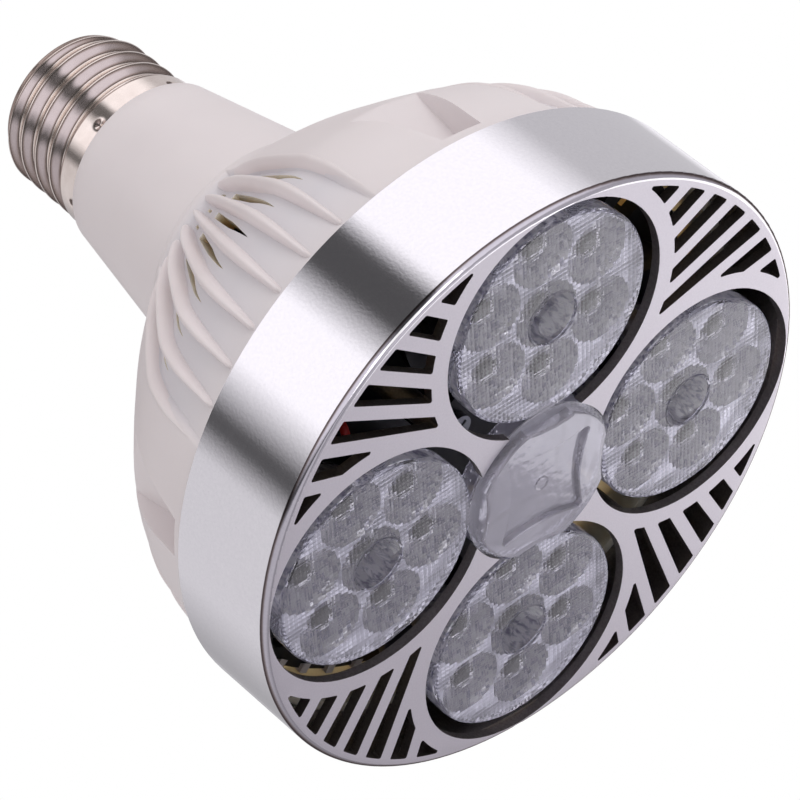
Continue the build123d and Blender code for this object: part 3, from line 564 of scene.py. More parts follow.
def make_bell(outside, inside):
    """Bell and neck as one wall, with valleys, slots, scoops and rounded edges by the ribs."""
    rows = bell_rows()
    foot = straight(NECK, CAP_FOOT)
    rear = [
        (foot - NECK_EDGE * 0.1, CAP_FOOT - NECK_EDGE * 0.55),
        (foot - NECK_EDGE * 0.4, CAP_FOOT - NECK_EDGE * 0.15),
        (foot - NECK_EDGE, CAP_FOOT),
        (straight(NECK_BORE, CAP_FOOT), CAP_FOOT),
    ]
    outside_rows = len(rows) + 3
    rear += list(CAP_SPIGOT)
    angles = [column_angles(height) for height in rows]
    per_quarter = len(angles[0])
    points, valley_shade_depths = [], []
    for diagonal in DIAGONALS:
        for index in range(per_quarter):
            outer = [outer_radius(angles[row][index], rows[row]) for row in range(len(rows))]
            inner = [inner_radius(angles[row][index], rows[row]) for row in range(len(rows))]
            ring = [(outer[row], angles[row][index], rows[row]) for row in range(len(rows))]
            ring += [(radius, angles[-1][index], height) for radius, height in rear]
            ring += [(inner[row], angles[row][index], rows[row]) for row in range(len(rows))][::-1]
            ring += [(radius, angles[0][index], height) for radius, height in SPIGOT]
            points += [spot(radius, angle + diagonal, height) for radius, angle, height in ring]
            # How deep each point sinks into a valley, from 0 to 1, for the painted shade in the
            # valleys
            for row in range(len(ring)):
                sunk = row < len(rows) and rows[row] < BELL_REAR
                depth = between(BELL, rows[row]) - outer[row] if sunk else 0.0
                in_group = abs(angles[0][index]) < RIB_PITCH * (RIBS - 1) / 2
                valley_shade_depths.append(min(1.0, depth / 1.5) if in_group else 0.0)
    size = len(points) // (4 * per_quarter)
    columns = 4 * per_quarter
    opens = [
        index
        for index in range(per_quarter)
        for number in range(RIBS - 1)
        if 0 < RIB_PITCH * (number - (RIBS - 2) / 2) - angles[0][index] < 1.0
    ]
    slot_rows = {
        row
        for row, height in enumerate(rows[:-1])
        if SLOT_POINT - 0.01 < height < SLOT_END - 0.01 or SLIT[0] - 0.01 < height < SLIT[1] - 0.01
    }
    inner_of = [size - len(SPIGOT) - 1 - row for row in range(len(rows))]
    mirrored = {inner_of[row + 1] for row in slot_rows}
    faces, sides = [], []
    for column in range(columns):
        here = column * size
        there = (column + 1) % columns * size
        is_open = column % per_quarter in opens
        for row in range(size):
            if is_open and (row in slot_rows or row in mirrored):
                continue
            following = (row + 1) % size
            faces.append((here + row, there + row, there + following, here + following))
            sides.append(0 if row < outside_rows else 1)
        if not is_open:
            continue
        for row in slot_rows:
            deep, deeper = inner_of[row], inner_of[row + 1]
            for base in (here, there):
                faces.append((base + row, base + row + 1, base + deeper, base + deep))
            sides += [1, 1]
            if row - 1 not in slot_rows:
                faces.append((here + row, there + row, there + deep, here + deep))
                sides.append(1)
            if row + 1 not in slot_rows:
                faces.append((here + row + 1, there + row + 1, there + deeper, here + deeper))
                sides.append(1)
    made = mesh_object("housing_bell", points, faces, sides)
    # The valleys' depth, which the bell's material turns into painted shade
    tint = made.data.attributes.new("valley_shade", "FLOAT", "POINT")
    tint.data.foreach_set("value", valley_shade_depths)
    tidy_mesh(made, 27)
    # The inside material paints the slot sides and the bell's inside tan with shade
    paint(made, outside, inside)
    return made


def rib_template():
    """One rib at angle 0: a rounded ridge sunk in the bell, from its point to its nose."""
    rows = list(np.linspace(RIB_TIP, RIB_NOSE[0], 44)) + list(np.linspace(*RIB_NOSE, 9)[1:])
    shares = [math.sin(math.radians(turn)) for turn in (90, 60, 44, 31, 21, 13, 6)]
    shares = [-share for share in shares] + [0.0] + shares[::-1]
    points, faces = [], []
    for height in rows:
        nose = max(0.0, (height - RIB_NOSE[0]) / (RIB_NOSE[1] - RIB_NOSE[0]))
        crest = between(BELL, height) - RIB_DEPTH * (1 - math.sqrt(max(0.0, 1 - nose * nose)))
        crest += RIB_LIFT * ramp(height, 20, 30) * (1 - ramp(height, 54, 60))
        blunt = max(0.0, (RIB_TIP + RIB_TIP_ROUND - height) / RIB_TIP_ROUND)
        crest -= 1.0 - math.sqrt(1 - min(1.0, blunt) ** 2)
        half = RIB_HALF * (0.62 + 0.38 * ramp(height, 18, 34))
        for share in shares:
            drop = RIB_DEPTH * (1 - math.sqrt(max(0.0, 1 - share * share)))
            points.append(spot(crest - drop, half * share, height))
    width = len(shares)
    for row in range(len(rows) - 1):
        for across in range(width):
            here, beside = row * width + across, row * width + (across + 1) % width
            faces.append((here, beside, beside + width, here + width))
    faces.append(tuple(range(width)))
    faces.append(tuple(range((len(rows) - 1) * width, len(rows) * width)))
    made = mesh_object("housing_ribs", points, faces)
    tidy_mesh(made, 40)
    return made


# Repeated parts, by Geometry Nodes


def new_growth(name, **inputs):
    """Geometry node tree with a template and named inputs. Returns it and its input node."""
    tree = bpy.data.node_groups.new(name, "GeometryNodeTree")
    tree.interface.new_socket("Template", in_out="INPUT", socket_type="NodeSocketGeometry")
    for label, value in inputs.items():
        kind = "NodeSocketInt" if isinstance(value, int) else "NodeSocketFloat"
        tree.interface.new_socket(label, in_out="INPUT", socket_type=kind).default_value = value
    tree.interface.new_socket("Result", in_out="OUTPUT", socket_type="NodeSocketGeometry")
    return tree, add(tree, "NodeGroupInput")


def settle(made, tree, copies, material, **inputs):
    """End a tree with real geometry and its material, and keep its result as the mesh."""
    real = add(tree, "GeometryNodeRealizeInstances", {0: copies})
    if material:
        painted = add(tree, "GeometryNodeSetMaterial", {0: real.outputs[0], "Material": material})
        add(tree, "NodeGroupOutput", {0: painted.outputs[0]})
    else:
        add(tree, "NodeGroupOutput", {0: real.outputs[0]})
    modifier = made.modifiers.new(tree.name, "NODES")
    modifier.node_group = tree
    for socket in tree.interface.items_tree:
        if socket.in_out == "INPUT" and socket.name in inputs:
            modifier[socket.identifier] = inputs[socket.name]
    graph = bpy.context.evaluated_depsgraph_get()
    grown = bpy.data.meshes.new_from_object(made.evaluated_get(graph))
    made.modifiers.remove(modifier)
    made.data = grown


def make_ribs(material):
    """All the ribs: the template repeated round the bell, in groups on the diagonals."""
    made = rib_template()
    made.data.materials.append(material)
    tree, source = new_growth("rib_groups", Groups=4, Ribs=6, Pitch=0.1)
    groups, ribs, pitch = (source.outputs[name] for name in ("Groups", "Ribs", "Pitch"))
    total = add(tree, MATH, {0: groups, 1: ribs}, operation="MULTIPLY").outputs[0]
    line = add(tree, "GeometryNodeMeshLine", {"Count": total, "Offset": (0, 0, 0)})
    index = add(tree, "GeometryNodeInputIndex").outputs[0]
    ratio = add(tree, MATH, {0: index, 1: ribs}, operation="DIVIDE").outputs[0]
    group = add(tree, MATH, {0: ratio}, operation="FLOOR").outputs[0]
    in_group = add(tree, MATH, {0: index, 1: ribs}, operation="MODULO").outputs[0]
    last = add(tree, MATH, {0: ribs, 1: 1.0}, operation="SUBTRACT").outputs[0]
    middle = add(tree, MATH, {0: last, 1: 0.5}, operation="MULTIPLY").outputs[0]
    steps = add(tree, MATH, {0: in_group, 1: middle}, operation="SUBTRACT").outputs[0]
    off = add(tree, MATH, {0: steps, 1: pitch}, operation="MULTIPLY").outputs[0]
    diagonal = add(tree, MATH, {0: group, 1: 0.5}, operation="ADD").outputs[0]
    share = add(tree, MATH, {0: diagonal, 1: groups}, operation="DIVIDE").outputs[0]
    start = add(tree, MATH, {0: share, 1: 2 * math.pi}, operation="MULTIPLY").outputs[0]
    turn = add(tree, MATH, {0: start, 1: off}, operation="ADD").outputs[0]
    rotation = add(tree, "ShaderNodeCombineXYZ", {"Z": turn}).outputs[0]
    copies = add(
        tree,
        "GeometryNodeInstanceOnPoints",
        {"Points": line.outputs[0], "Instance": source.outputs[0], "Rotation": rotation},
    )
    pitch_turn = math.radians(RIB_PITCH)
    settle(made, tree, copies.outputs[0], material, Groups=4, Ribs=RIBS, Pitch=pitch_turn)
    return made


# Lens moulding


def plate_outline(inset):
    """Outline of the four discs, drawn in by an inset, and of the hub's base that joins them."""
    disc, hub = DISC_RADIUS - inset, HUB_BASE_RADIUS + inset / 2
    across = (hub ** 2 + WELL_CENTRE ** 2 - disc ** 2) / (2 * WELL_CENTRE)
    along = math.sqrt(hub ** 2 - across ** 2)
    reach = math.degrees(math.atan2(along, across - WELL_CENTRE))
    corner = math.degrees(math.atan2(along, across))
    outline = []
    for quarter in QUARTERS:
        centre = spot(WELL_CENTRE, quarter, 0)
        for step in range(89):
            x, y, _ = spot(disc, quarter - reach + 2 * reach * step / 88, 0)
            outline.append((centre[0] + x, centre[1] + y))
        for step in range(1, 12):
            outline.append(spot(hub, quarter + corner + (90 - 2 * corner) * step / 12, 0)[:2])
    return outline


def star_outline(rim, side):
    """Outline of a disc with four round bites, one from each well."""
    outline = []
    for step in range(192):
        turn = 360 * step / 192
        away = math.radians((turn + 45) % 90 - 45)
        chord = side ** 2 - (WELL_CENTRE * math.sin(away)) ** 2
        bite = WELL_CENTRE * math.cos(away) - math.sqrt(chord) if chord > 0 else rim
        outline.append(spot(min(rim, bite), turn, 0)[:2])
    return outline


def walls(points, faces, levels):
    """Side walls through outlines at their heights. Returns the first and last rings of points."""
    rings = []
    for outline, height in levels:
        rings.append(range(len(points), len(points) + len(outline)))
        points += [(x, y, height) for x, y in outline]
    for lower, upper in zip(rings, rings[1:]):
        count = len(lower)
        for step in range(count):
            following = (step + 1) % count
            faces.append((lower[step], lower[following], upper[following], upper[step]))
    return rings[0], rings[-1]


def cover_ring(points, faces, outer, *holes):
    """Flat face inside a ring of points, round the rings of its holes."""
    rings = [list(outer)] + [list(hole) for hole in holes]
    order = [number for ring in rings for number in ring]
    flat = [[Vector((*points[number][:2], 0)) for number in ring] for ring in rings]
    faces += [tuple(order[corner] for corner in triangle) for triangle in tessellate_polygon(flat)]


def lenslet_places(quarter):
    """Centre and turn of the seven lenslets of a disc, whose ring is twisted either way in turn."""
    twist = -LENSLET_TWIST if quarter % 180 == 0 else LENSLET_TWIST
    middle = spot(WELL_CENTRE, quarter, 0)
    turns = [quarter + twist + 60 * step for step in range(6)]
    ring = [spot(LENSLET_PITCH, turn, 0) for turn in turns]
    places = [(middle[:2], quarter + twist)]
    return places + [((middle[0] + x, middle[1] + y), turn) for (x, y, _), turn in zip(ring, turns)]


def circle_about(centre, radius, turn=0.0, count=LENSLET_SIDES):
    circle = [spot(radius, turn + 360 * step / count, 0) for step in range(count)]
    return [(centre[0] + x, centre[1] + y) for x, y, _ in circle]


def make_lens_plate():
    """Discs and hub as one plate: rounded edges, a star-shaped hub, and round holes behind.

    Faces are numbered: 0 front of the discs, 1 hub, 2 polished edges, 3 waffled back.
    """
    points, faces = [], []
    edge = [
        (plate_outline(DISC_ROUND * across), DISC_FRONT + DISC_ROUND * behind)
        for across, behind in DISC_EDGE
    ]
    front, back = walls(points, faces, edge + [(plate_outline(0.0), DISC_BACK)])
    middles = []
    for quarter in QUARTERS:
        centre = spot(WELL_CENTRE, quarter, 0)[:2]
        rim, dome = walls(points, faces, [
            (circle_about(centre, radius, count=72), DISC_FRONT + rise)
            for radius, rise in MIDDLE_LENSLET
        ])
        middles.append(rim)
        cover_ring(points, faces, dome)
    edge_count = len(faces)
    holes = [
        circle_about(centre, GUIDE_RADIUS, turn)
        for quarter in QUARTERS
        for centre, turn in lenslet_places(quarter)
    ]
    holes.append(circle_about((0, 0), HUB_RADIUS, count=96))
    edges = []
    for hole in holes:
        edges.append(range(len(points), len(points) + len(hole)))
        points += [(x, y, DISC_BACK) for x, y in hole]
    cover_ring(points, faces, back, *edges)
    waffled = len(faces)
    cover_ring(points, faces, edges[-1])
    hub_edge = [
        (star_outline(HUB_RADIUS - inset, HUB_SIDE_RADIUS + inset), -HUB_PROUD + behind)
        for inset, behind in HUB_EDGE
    ]
    foot = (star_outline(HUB_RADIUS, HUB_SIDE_RADIUS), DISC_FRONT)
    hub_foot, hub_top = walls(points, faces, [foot] + hub_edge)
    rim, floor = walls(points, faces, [
        (star_outline(RECESS_RADIUS + 0.15, RECESS_SIDE_RADIUS - 0.15), -HUB_PROUD),
        (star_outline(RECESS_RADIUS, RECESS_SIDE_RADIUS), -HUB_PROUD + 0.15),
        (star_outline(RECESS_RADIUS - 0.2, RECESS_SIDE_RADIUS + 0.2), -HUB_PROUD + RECESS_DEPTH),
    ])
    level = -HUB_PROUD + RECESS_DEPTH
    gate_foot, gate_top = walls(points, faces, [
        (circle_about((0, 0), GATE_RADIUS), level),
        (circle_about((0, 0), GATE_RADIUS), level - 0.12),
        (circle_about((0, 0), GATE_RADIUS * 0.75), level),
    ])
    cover_ring(points, faces, hub_top, rim)
    cover_ring(points, faces, floor, gate_foot)
    cover_ring(points, faces, gate_top)
    thick = len(faces)
    cover_ring(points, faces, front, hub_foot, *middles)
    sides = [2] * edge_count + [3] * (waffled - edge_count) + [1] * (thick - waffled)
    sides += [0] * (len(faces) - thick)
    return mesh_object("lens_moulding", points, faces, sides)


def make_guide(name, flutes):
    """Light guide at the centre: a faceted cone with a hollow for its light source.

    Each long facet leans a little its own way, as in cut glass, so that each shines differently.
    """
    profile = list(GUIDE_SIDES) + [
        (CAVITY_RADIUS, GUIDE_END),
        (CAVITY_RADIUS - 0.1, CAVITY_ROOF + 0.7),
        (CAVITY_RADIUS - 0.5, CAVITY_ROOF + 0.2),
        (CAVITY_RADIUS - 1.2, CAVITY_ROOF),
    ]
    dice = np.random.default_rng(FACET_SEED).uniform(-FACET_LEAN, FACET_LEAN, LENSLET_SIDES)
    points, faces, levels = [], [], []
    for row, (radius, height) in enumerate(profile):
        spread = [0.0] * LENSLET_SIDES
        if 0 < row < len(GUIDE_SIDES):
            spread = list(dice * row / 2)
        if flutes and row:
            spread = [FLUTE * (-1) ** step for step in range(LENSLET_SIDES)]
        ring = [
            spot(radius * (1 + spread[step]), 360 * step / LENSLET_SIDES, 0)[:2]
            for step in range(LENSLET_SIDES)
        ]
        levels.append((ring, height))
    _, roof = walls(points, faces, levels)
    cover_ring(points, faces, roof)
    return mesh_object(name, points, faces)


def make_lens(clear, thick, polished, waffled, mirrored, shaded_window):
    """Clear moulding of discs, hub and light guides, joined into one closed solid by nodes."""
    made = make_lens_plate()
    paint(made, clear, thick, polished, waffled)
    guide = make_guide("guide_template", False)
    fluted = make_guide("fluted_template", True)
    tree, source = new_growth(
        "light_guides", Ring=0.01, Well=0.02, Twist=0.1, Hollow=0.002, Weld=0.00001
    )
    ring, well, twist, hollow_reach, weld = (
        source.outputs[label] for label in ("Ring", "Well", "Twist", "Hollow", "Weld")
    )
    parts = [source.outputs[0]]
    for template, lenslets in ((fluted, 1), (guide, 6)):
        line = add(tree, "GeometryNodeMeshLine", {"Count": 4 * lenslets, "Offset": (0, 0, 0)})
        index = add(tree, "GeometryNodeInputIndex").outputs[0]
        ratio = add(tree, MATH, {0: index, 1: lenslets}, operation="DIVIDE").outputs[0]
        disc = add(tree, MATH, {0: ratio}, operation="FLOOR").outputs[0]
        step = add(tree, MATH, {0: index, 1: lenslets}, operation="MODULO").outputs[0]
        quarter = add(tree, MATH, {0: disc, 1: math.pi / 2}, operation="MULTIPLY").outputs[0]
        # The rings of neighbouring discs are twisted opposite ways, by -1 and 1 times the twist
        parity = add(tree, MATH, {0: disc, 1: 2.0}, operation="MODULO").outputs[0]
        double = add(tree, MATH, {0: parity, 1: 2.0}, operation="MULTIPLY").outputs[0]
        sense = add(tree, MATH, {0: double, 1: 1.0}, operation="SUBTRACT").outputs[0]
        lean = add(tree, MATH, {0: sense, 1: twist}, operation="MULTIPLY").outputs[0]
        around = add(
            tree, MATH, {0: step, 1: 2 * math.pi / lenslets}, operation="MULTIPLY"
        ).outputs[0]
        even = add(tree, MATH, {0: quarter, 1: around}, operation="ADD").outputs[0]
        turn = add(tree, MATH, {0: even, 1: lean}, operation="ADD").outputs[0]
        flat = []
        for wave in ("COSINE", "SINE"):
            swung = [
                add(tree, MATH, {0: angle}, operation=wave).outputs[0]
                for angle in (quarter, turn)
            ]
            far, near = (
                add(tree, MATH, {0: reach, 1: value}, operation="MULTIPLY").outputs[0]
                for reach, value in zip((well, ring), swung)
            )
            both = add(tree, MATH, {0: far, 1: near}, operation="ADD").outputs[0]
            flat.append(both if lenslets > 1 else far)
        centre = add(tree, "ShaderNodeCombineXYZ", {"X": flat[0], "Y": flat[1]}).outputs[0]
        spots = add(
            tree, "GeometryNodeSetPosition", {"Geometry": line.outputs[0], "Position": centre}
        )
        rotation = add(tree, "ShaderNodeCombineXYZ", {"Z": turn}).outputs[0]
        shape = add(tree, "GeometryNodeObjectInfo", {"Object": template})
        painted = add(
            tree,
            "GeometryNodeSetMaterial",
            {"Geometry": shape.outputs["Geometry"], "Material": mirrored},
        )
        place = add(tree, "GeometryNodeInputPosition").outputs[0]
        level = add(
            tree, "ShaderNodeVectorMath", {0: place, 1: (1, 1, 0)}, operation="MULTIPLY"
        ).outputs[0]
        radius = add(tree, "ShaderNodeVectorMath", {0: level}, operation="LENGTH").outputs["Value"]
        above_hollow = add(
            tree, MATH, {0: radius, 1: hollow_reach}, operation="LESS_THAN"
        ).outputs[0]
        # The roofs of the hollows get the dark tint of painted shade
        hollow = add(
            tree,
            "GeometryNodeSetMaterial",
            {"Geometry": painted.outputs[0], "Selection": above_hollow, "Material": shaded_window},
        )
        copies = add(
            tree,
            "GeometryNodeInstanceOnPoints",
            {"Points": spots.outputs[0], "Instance": hollow.outputs[0], "Rotation": rotation},
        )
        parts.append(copies.outputs[0])
    joined = add(tree, "GeometryNodeJoinGeometry")
    for part in parts[::-1]:
        tree.links.new(part, joined.inputs[0])
    real = add(tree, "GeometryNodeRealizeInstances", {0: joined.outputs[0]})
    welded = add(
        tree, "GeometryNodeMergeByDistance", {"Geometry": real.outputs[0], "Distance": weld}
    )
    settle(
        made, tree, welded.outputs[0], None,
        Ring=LENSLET_PITCH * MM,
        Well=WELL_CENTRE * MM,
        Twist=math.radians(LENSLET_TWIST),
        Hollow=(CAVITY_RADIUS - 0.2) * MM,
    )
    for template in (guide, fluted):
        bpy.data.objects.remove(template)
    tidy_mesh(made, 5.5)
    return made


# Screw cap


def cap_radius(angle, height):
    """Outer radius of the cap's sheet: skirt, punch marks, rolled thread and end."""
    if height <= SKIRT_TOP:
        nearest = round((angle - PUNCH_FIRST) / (360 / PUNCHES)) * 360 / PUNCHES + PUNCH_FIRST
        across = math.radians(angle - nearest) * SKIRT_RADIUS
        reach = (across ** 2 + (height - PUNCH_LEVEL) ** 2) / PUNCH_REACH ** 2
        return SKIRT_RADIUS - PUNCH_DEPTH * math.exp(-reach)
    turns = (height - THREAD_PHASE) / THREAD_PITCH - angle / 360
    wave = 0.5 + 0.5 * math.cos(2 * math.pi * turns)
    share = ramp(height, *THREAD_RISE) * (1 - ramp(height, *THREAD_FALL))
    step = (SKIRT_RADIUS - THREAD_ROOT) * (1 - ramp(height, SKIRT_TOP, SKIRT_TOP + 1.0))
    return max(THREAD_ROOT + step, THREAD_ROOT + THREAD_DEPTH * wave * share)


def make_cap(metal):
    """Screw cap of thin sheet: skirt with punch marks, rolled right-hand thread and turned end."""
    rows = [CAP_FOOT, CAP_FOOT + 0.25] + list(np.linspace(CAP_FOOT + 0.5, SKIRT_TOP, 18))
    rows += list(np.linspace(SKIRT_TOP, CAP_RIM - CAP_ROUND, 76)[1:])
    points, faces = [], []
    columns = 216
    for column in range(columns):
        angle = 360 * column / columns
        ring = [
            (cap_radius(angle, height) - (0.12 if height == CAP_FOOT else 0.0), height)
            for height in rows
        ]
        last = ring[-1][0]
        ring += [
            (last - CAP_ROUND * (1 - math.cos(math.radians(turn))),
             CAP_RIM - CAP_ROUND * (1 - math.sin(math.radians(turn))))
            for turn in (15, 30, 45, 60, 75, 90)
        ]
        ring += [(10.7, CAP_RIM), (10.7, CAP_RIM - 0.4), (CAP_BORE - 0.2, CAP_RIM - CAP_ROUND)]
        ring += [(CAP_BORE, CAP_RIM - 2.0), (CAP_BORE, SKIRT_TOP + 0.8)]
        ring += [(SKIRT_RADIUS - 0.45, SKIRT_TOP - 0.4), (SKIRT_RADIUS - 0.45, CAP_FOOT)]
        points += [spot(radius, angle, height) for radius, height in ring]
        size = len(ring)
    for column in range(columns):
        here, there = column * size, (column + 1) % columns * size
        for row in range(size):
            following = (row + 1) % size
            faces.append((here + row, there + row, there + following, here + following))
    made = mesh_object("cap_threaded", points, faces)
    tidy_mesh(made, 50)
    paint(made, metal)
    return made


# Face and ring


def faces_out(normal, place):
    """Whether a face looks away from the axis."""
    return normal.x * place.x + normal.y * place.y > 0.02 * math.hypot(place.x, place.y)


def smooth_rim(mesh):
    """Give the ring's outside the normals of its true round, so that it shines evenly."""
    normals = [(0.0, 0.0, 0.0)] * len(mesh.loops)
    centre = RING_RADIUS - FACE_ROUND
    for face in mesh.polygons:
        if face.material_index or not faces_out(face.normal, face.center):
            continue
        for corner in face.loop_indices:
            x, y, z = mesh.vertices[mesh.loops[corner].vertex_index].co / MM
            radius, height = math.hypot(x, y), z - FACE_LEVEL / MM
            if radius < centre - 0.01:
                continue
            along = max(0.0, FACE_ROUND - height)
            out = max(0.0, min(radius, RING_RADIUS) - centre) if along else FACE_ROUND
            length = math.hypot(out, along) or 1.0
            level = out / length / radius
            normals[corner] = (x * level, y * level, -along / length)
    mesh.normals_split_custom_set(normals)


def make_cover(ring_metal, face_metal, cut_metal):
    """Ring and perforated face, with their three finishes: turned, bead-blasted and sheared."""
    made = bpy.data.objects.new("cover_turned", frame["nodes"]["front_cover"].data.copy())
    bpy.context.scene.collection.objects.link(made)
    made.data.materials.clear()
    work = bmesh.new()
    work.from_mesh(made.data)
    bmesh.ops.remove_doubles(work, verts=work.verts, dist=1e-6)
    for face in work.faces:
        face.smooth = True
        middle = face.calc_center_median()
        radius = math.hypot(middle.x, middle.y) / MM
        height = (middle.z - FACE_LEVEL) / MM
        if face.normal.z < -0.995 and height < 0.1:
            face.material_index = 1
        elif radius > 46.2 and (faces_out(face.normal, middle) or face.normal.z > 0.5):
            face.material_index = 0
        else:
            face.material_index = 2
    for edge in work.edges:
        same = len({face.material_index for face in edge.link_faces}) == 1
        edge.smooth = same and edge.calc_face_angle(0.0) < math.radians(32)
    work.to_mesh(made.data)
    work.free()
    smooth_rim(made.data)
    paint(made, ring_metal, face_metal, cut_metal)
    return made


# Scene

scene = bpy.context.scene
camera = bpy.data.objects.new("camera", bpy.data.cameras.new("camera"))
scene.collection.objects.link(camera)
camera.data.lens = CAMERA_LENS
camera.data.sensor_width = 36.0
camera.data.clip_start = 0.01
axes = Matrix((CAMERA_RIGHT, CAMERA_UP, CAMERA_BACK)).transposed().to_4x4()
camera.matrix_world = Matrix.Translation(Vector(CAMERA_PLACE) * MM) @ axes
scene.camera = camera

# The bell's valleys and its slot sides and inside carry painted shade
bell = make_bell(white_polycarbonate(), slot_shade_polycarbonate())
dress(bell, "white_polycarbonate", "rear_housing")
ribs = make_ribs(rib_polycarbonate())
dress(ribs, "white_polycarbonate", "rear_housing")

# Acrylic above the hollow of each light source: tinted dark brown grey for the dark inside seen
# through it, which is painted shade
shaded_window_acrylic = plain_finish(
    "acrylic_hollow_painted_shade", "4C4846", "302D2C", (0.02, 0.08), 1.5, 0.01,
    IOR=1.49, Transmission_Weight=0.85,
)
lens = make_lens(
    pillowed_acrylic(), hub_acrylic(), polished_acrylic(),
    waffled_acrylic(), mirrored_acrylic(), shaded_window_acrylic,
)
dress(lens, "clear_acrylic", "lens_array")

# Nickel plate on drawn brass: bright, a little warm, with faint drawing marks. It has dulled with
# handling, so it is a little less than metallic
nickel = plain_finish(
    "brass_nickel_plated", "F6EBE3", "E2D5CC", (0.10, 0.18), 2.4, 0.01, 0.92, detail=4.0
)
cap = make_cap(nickel)
dress(cap, "nickel_plate", "cap_shell")

# Aluminium, bead-blasted: an even soft sheen with a fine grain, a little lilac. Blasting pits are
# about 0.1 mm across, and are drawn at 0.3 mm so that they show
satin_aluminium = plain_finish(
    "aluminium_bead_blasted", "DEDADF", "D3CFD5", (0.38, 0.52), 0.3, 0.006, 0.85
)
# Aluminium walls of the punched openings: sheared, dull, and dragged along the cut
punched_aluminium = plain_finish(
    "aluminium_sheared", "B4AEA9", "7C7570", (0.35, 0.6), 0.35, 0.02, 1.0, detail=3.0
)
cover = make_cover(turned_aluminium(), satin_aluminium, punched_aluminium)
dress(cover, "satin_aluminium", "front_cover")

# Finishes of the parts that stay as the source made them, by material slot
finishes = {
    "black_solder_mask": plain_finish("epoxy_solder_mask", "1C1C1F", "121214", 0.32, 1.5, 0.004),
    "led_phosphor": plain_finish("silicone_phosphor", "7A7366", "605A4F", 0.35, 0.4, 0.01),
    "screw_steel": plain_finish("steel_zinc_plated", "B9BBC0", "9FA1A6", 0.3, 0.3, 0.005, 1.0),
    "black_anodised_aluminium": plain_finish(
        "aluminium_black_anodised", "1B1B1D", "111113", 0.5, 0.6, 0.008
    ),
    "black_fan_plastic": plain_finish("nylon_glass_filled", "202022", "161618", 0.5, 0.5, 0.01),
    "sintered_bronze": plain_finish("bronze_sintered", "9C7A4E", "7C5D38", 0.5, 0.25, 0.02, 1.0),
    "copper_winding": plain_finish("copper_enamelled", "B5683A", "8C4A26", 0.3, 0.3, 0.05, 0.9),
    "ferrite": plain_finish("ferrite_pressed", "3A3A3D", "2B2B2D", 0.6, 0.4, 0.02),
    "nickel_plate": nickel,
    "pale_insulator": plain_finish("glass_pale_pressed", "DAD5CB", "CCC6BA", 0.28, 4.0, 0.03),
    "sleeve_plastic": plain_finish("nylon_moulded", "CFCFCA", "C2C2BC", 0.45, 0.5, 0.01),
    "circuit_laminate": plain_finish("laminate_green", "2F6B43", "265A38", 0.4, 0.6, 0.01),
    "yellow_tape": plain_finish("polyester_tape", "D3B43A", "BE9E2C", 0.25, 2.0, 0.02),
    "capacitor_sleeve": plain_finish("shrink_sleeve", "23232F", "1A1A24", 0.28, 2.0, 0.01),
    "black_package": plain_finish("epoxy_moulded", "232325", "1A1A1B", 0.55, 0.3, 0.01),
    "resistor_coat": plain_finish("lacquer_green", "3B7355", "2E6046", 0.35, 0.5, 0.01),
    "wire_red_pvc": plain_finish("pvc_red", "B3201F", "9C1817", 0.4, 1.0, 0.01),
    "wire_black_pvc": plain_finish("pvc_black", "1D1D1E", "151516", 0.4, 1.0, 0.01),
}
for subpart in frame["record"]["subparts"]:
    node = frame["nodes"][subpart["node"]]
    if subpart["material_slot"] in finishes:
        node.data.materials.clear()
        node.data.materials.append(finishes[subpart["material_slot"]])

# Studio

world = bpy.data.worlds.new("studio")
world.use_nodes = True
scene.world = world
sky = world.node_tree
sky.nodes.clear()
# Cards that stand round the studio, which polished metal mirrors: white and grey ones, with dark
# gaps between. Each has its first and last angle about the axis and its light, and from one to
# the next the light fades
CARDS = (
    (-155, -105, 0.6), (-94, -89, 0.08), (-70, -44, 1.0), (-30, -16, 0.07), (-8, 42, 1.0),
    (60, 115, 0.5), (125, 130, 0.8), (160, 170, 0.35),
)
CARD_SEAM = 0.4
CARD_TINT = (1.19, 1.165, 1.225)
# The same by height, from straight below (-1) to straight above (1), tinted as the studio is
STOREYS = (
    (-1.0, "DAD8DE"), (-0.35, "D0CDD4"), (-0.1, "948A88"), (0.12, "5E5453"), (0.38, "5E5453"),
    (0.48, "FFFFFF"), (0.68, "FFFFFF"), (0.82, "A89C98"), (1.0, "9C908C"),
)
# What rays through clear plastic see in place of the storeys, and the pale room that softens them
CLEAR_STOREY = (1.2, 1.2, 1.22, 1)
PALE_ROOM = (1.0, 1.0, 1.02, 1)
# Even light on everything matt, and the white that the camera sees behind the lamp
EVEN_LIGHT = (0.74, 0.722, 0.724, 1)
WHITE = (1, 1, 1, 1)
path = add(sky, "ShaderNodeLightPath")
towards = add(sky, "ShaderNodeTexCoord").outputs["Generated"]
apart = add(sky, "ShaderNodeSeparateXYZ", {0: towards})
turn = add(sky, MATH, {0: apart.outputs[1], 1: apart.outputs[0]}, operation="ARCTAN2").outputs[0]
share = add(sky, MATH, {0: turn, 1: 2 * math.pi}, operation="DIVIDE").outputs[0]
around = add(sky, MATH, {0: share, 1: 0.5}, operation="ADD").outputs[0]
round_axis = add(sky, "ShaderNodeValToRGB", {0: around})
stops = [(angle, level) for start, end, level in CARDS for angle in (start, end)]
fill_ramp(round_axis, [
    ((angle + 180) / 360, [level * tint for tint in CARD_TINT] + [1])
    for angle, level in [(-180, CARD_SEAM), *stops, (180, CARD_SEAM)]
])
rise = add(sky, MATH, {0: apart.outputs[2], 1: 1.0}, operation="ADD").outputs[0]
height_share = add(sky, MATH, {0: rise, 1: 0.5}, operation="MULTIPLY").outputs[0]
by_height = add(sky, "ShaderNodeValToRGB", {0: height_share})
fill_ramp(by_height, [((height + 1) / 2, linear(code)) for height, code in STOREYS])
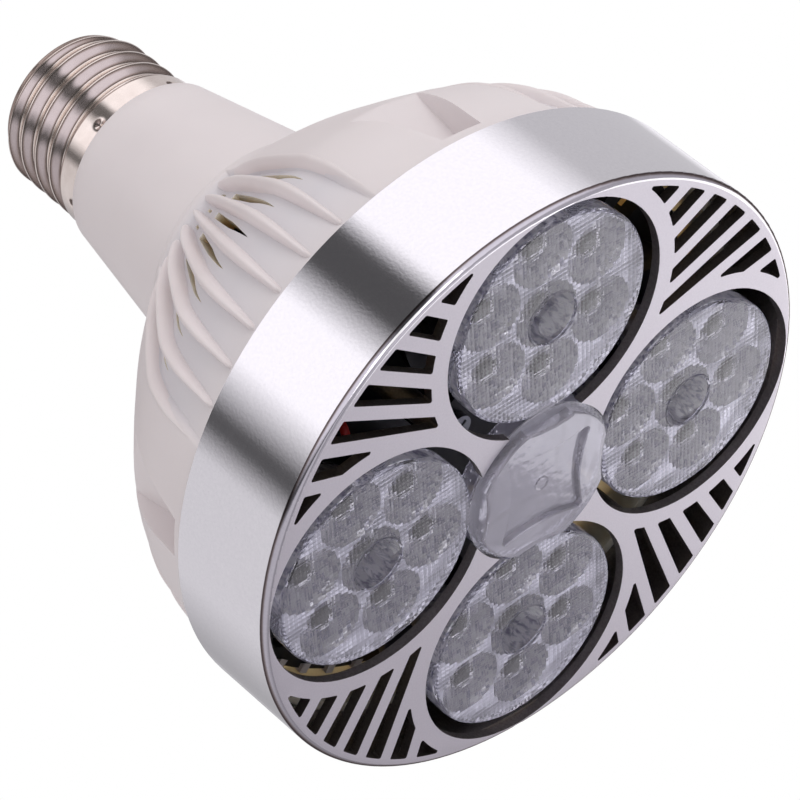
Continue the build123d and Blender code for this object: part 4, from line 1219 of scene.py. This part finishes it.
clear_ray = path.outputs["Is Transmission Ray"]
storey = add(sky, MIX, {0: clear_ray, 6: by_height.outputs[0], 7: CLEAR_STOREY}, data_type="RGBA")
cards = add(
    sky, MIX, {0: 1.0, 6: round_axis.outputs[0], 7: storey.outputs[2]},
    data_type="RGBA", blend_type="MULTIPLY",
)
# Clear plastic looks out on a wide pale room, so it mirrors the cards with less contrast
through = add(sky, MATH, {0: clear_ray, 1: 0.5}, operation="MULTIPLY").outputs[0]
softened = add(sky, MIX, {0: through, 6: cards.outputs[2], 7: PALE_ROOM}, data_type="RGBA")
mirrored = add(
    sky, MIX,
    {0: path.outputs["Is Glossy Ray"], 6: EVEN_LIGHT, 7: softened.outputs[2]},
    data_type="RGBA",
)
shown = add(
    sky, MIX, {0: path.outputs["Is Camera Ray"], 6: mirrored.outputs[2], 7: WHITE},
    data_type="RGBA",
)
backdrop = add(sky, "ShaderNodeBackground", {"Color": shown.outputs[2]})
add(sky, "ShaderNodeOutputWorld", {"Surface": backdrop.outputs[0]})


def soft_lamp(name, towards, distance, size, power):
    """Square lamp that shines on the lamp's middle from a direction in the camera's axes."""
    right, up, back = (Vector(axis) for axis in (CAMERA_RIGHT, CAMERA_UP, CAMERA_BACK))
    direction = (right * towards[0] + up * towards[1] + back * towards[2]).normalized()
    shining = bpy.data.lights.new(name, "AREA")
    shining.energy = power
    shining.size = size
    made = bpy.data.objects.new(name, shining)
    made.matrix_world = (
        Matrix.Translation(Vector((0, 0, 0.05)) + direction * distance)
        @ direction.to_track_quat("Z", "Y").to_matrix().to_4x4()
    )
    scene.collection.objects.link(made)
    return made


key_lamp = soft_lamp("key_lamp", (0.2, 1.0, 0.5), 0.9, 0.5, 2.0)
key_lamp.visible_glossy = False
soft_lamp("front_lamp", (0.5, -0.2, 1.0), 0.9, 0.5, 0.8)
soft_lamp("face_lamp", FACE_LAMP_TOWARDS, 0.36, 0.26, 0.2)

# The glass and the metal mirror the studio's cards, not the floor
floor_material, _, _ = new_material("floor_pale", Base_Color=linear("F4F4F5"), Roughness=0.8)
floor = mesh_object(
    "floor",
    [(-3000, -3000, -600), (3000, -3000, -600), (3000, 3000, -600), (-3000, 3000, -600)],
    [(0, 1, 2, 3)],
)
floor.data.materials.append(floor_material)
floor.visible_glossy = False
floor.visible_transmission = False

scene.view_settings.view_transform = "Standard"
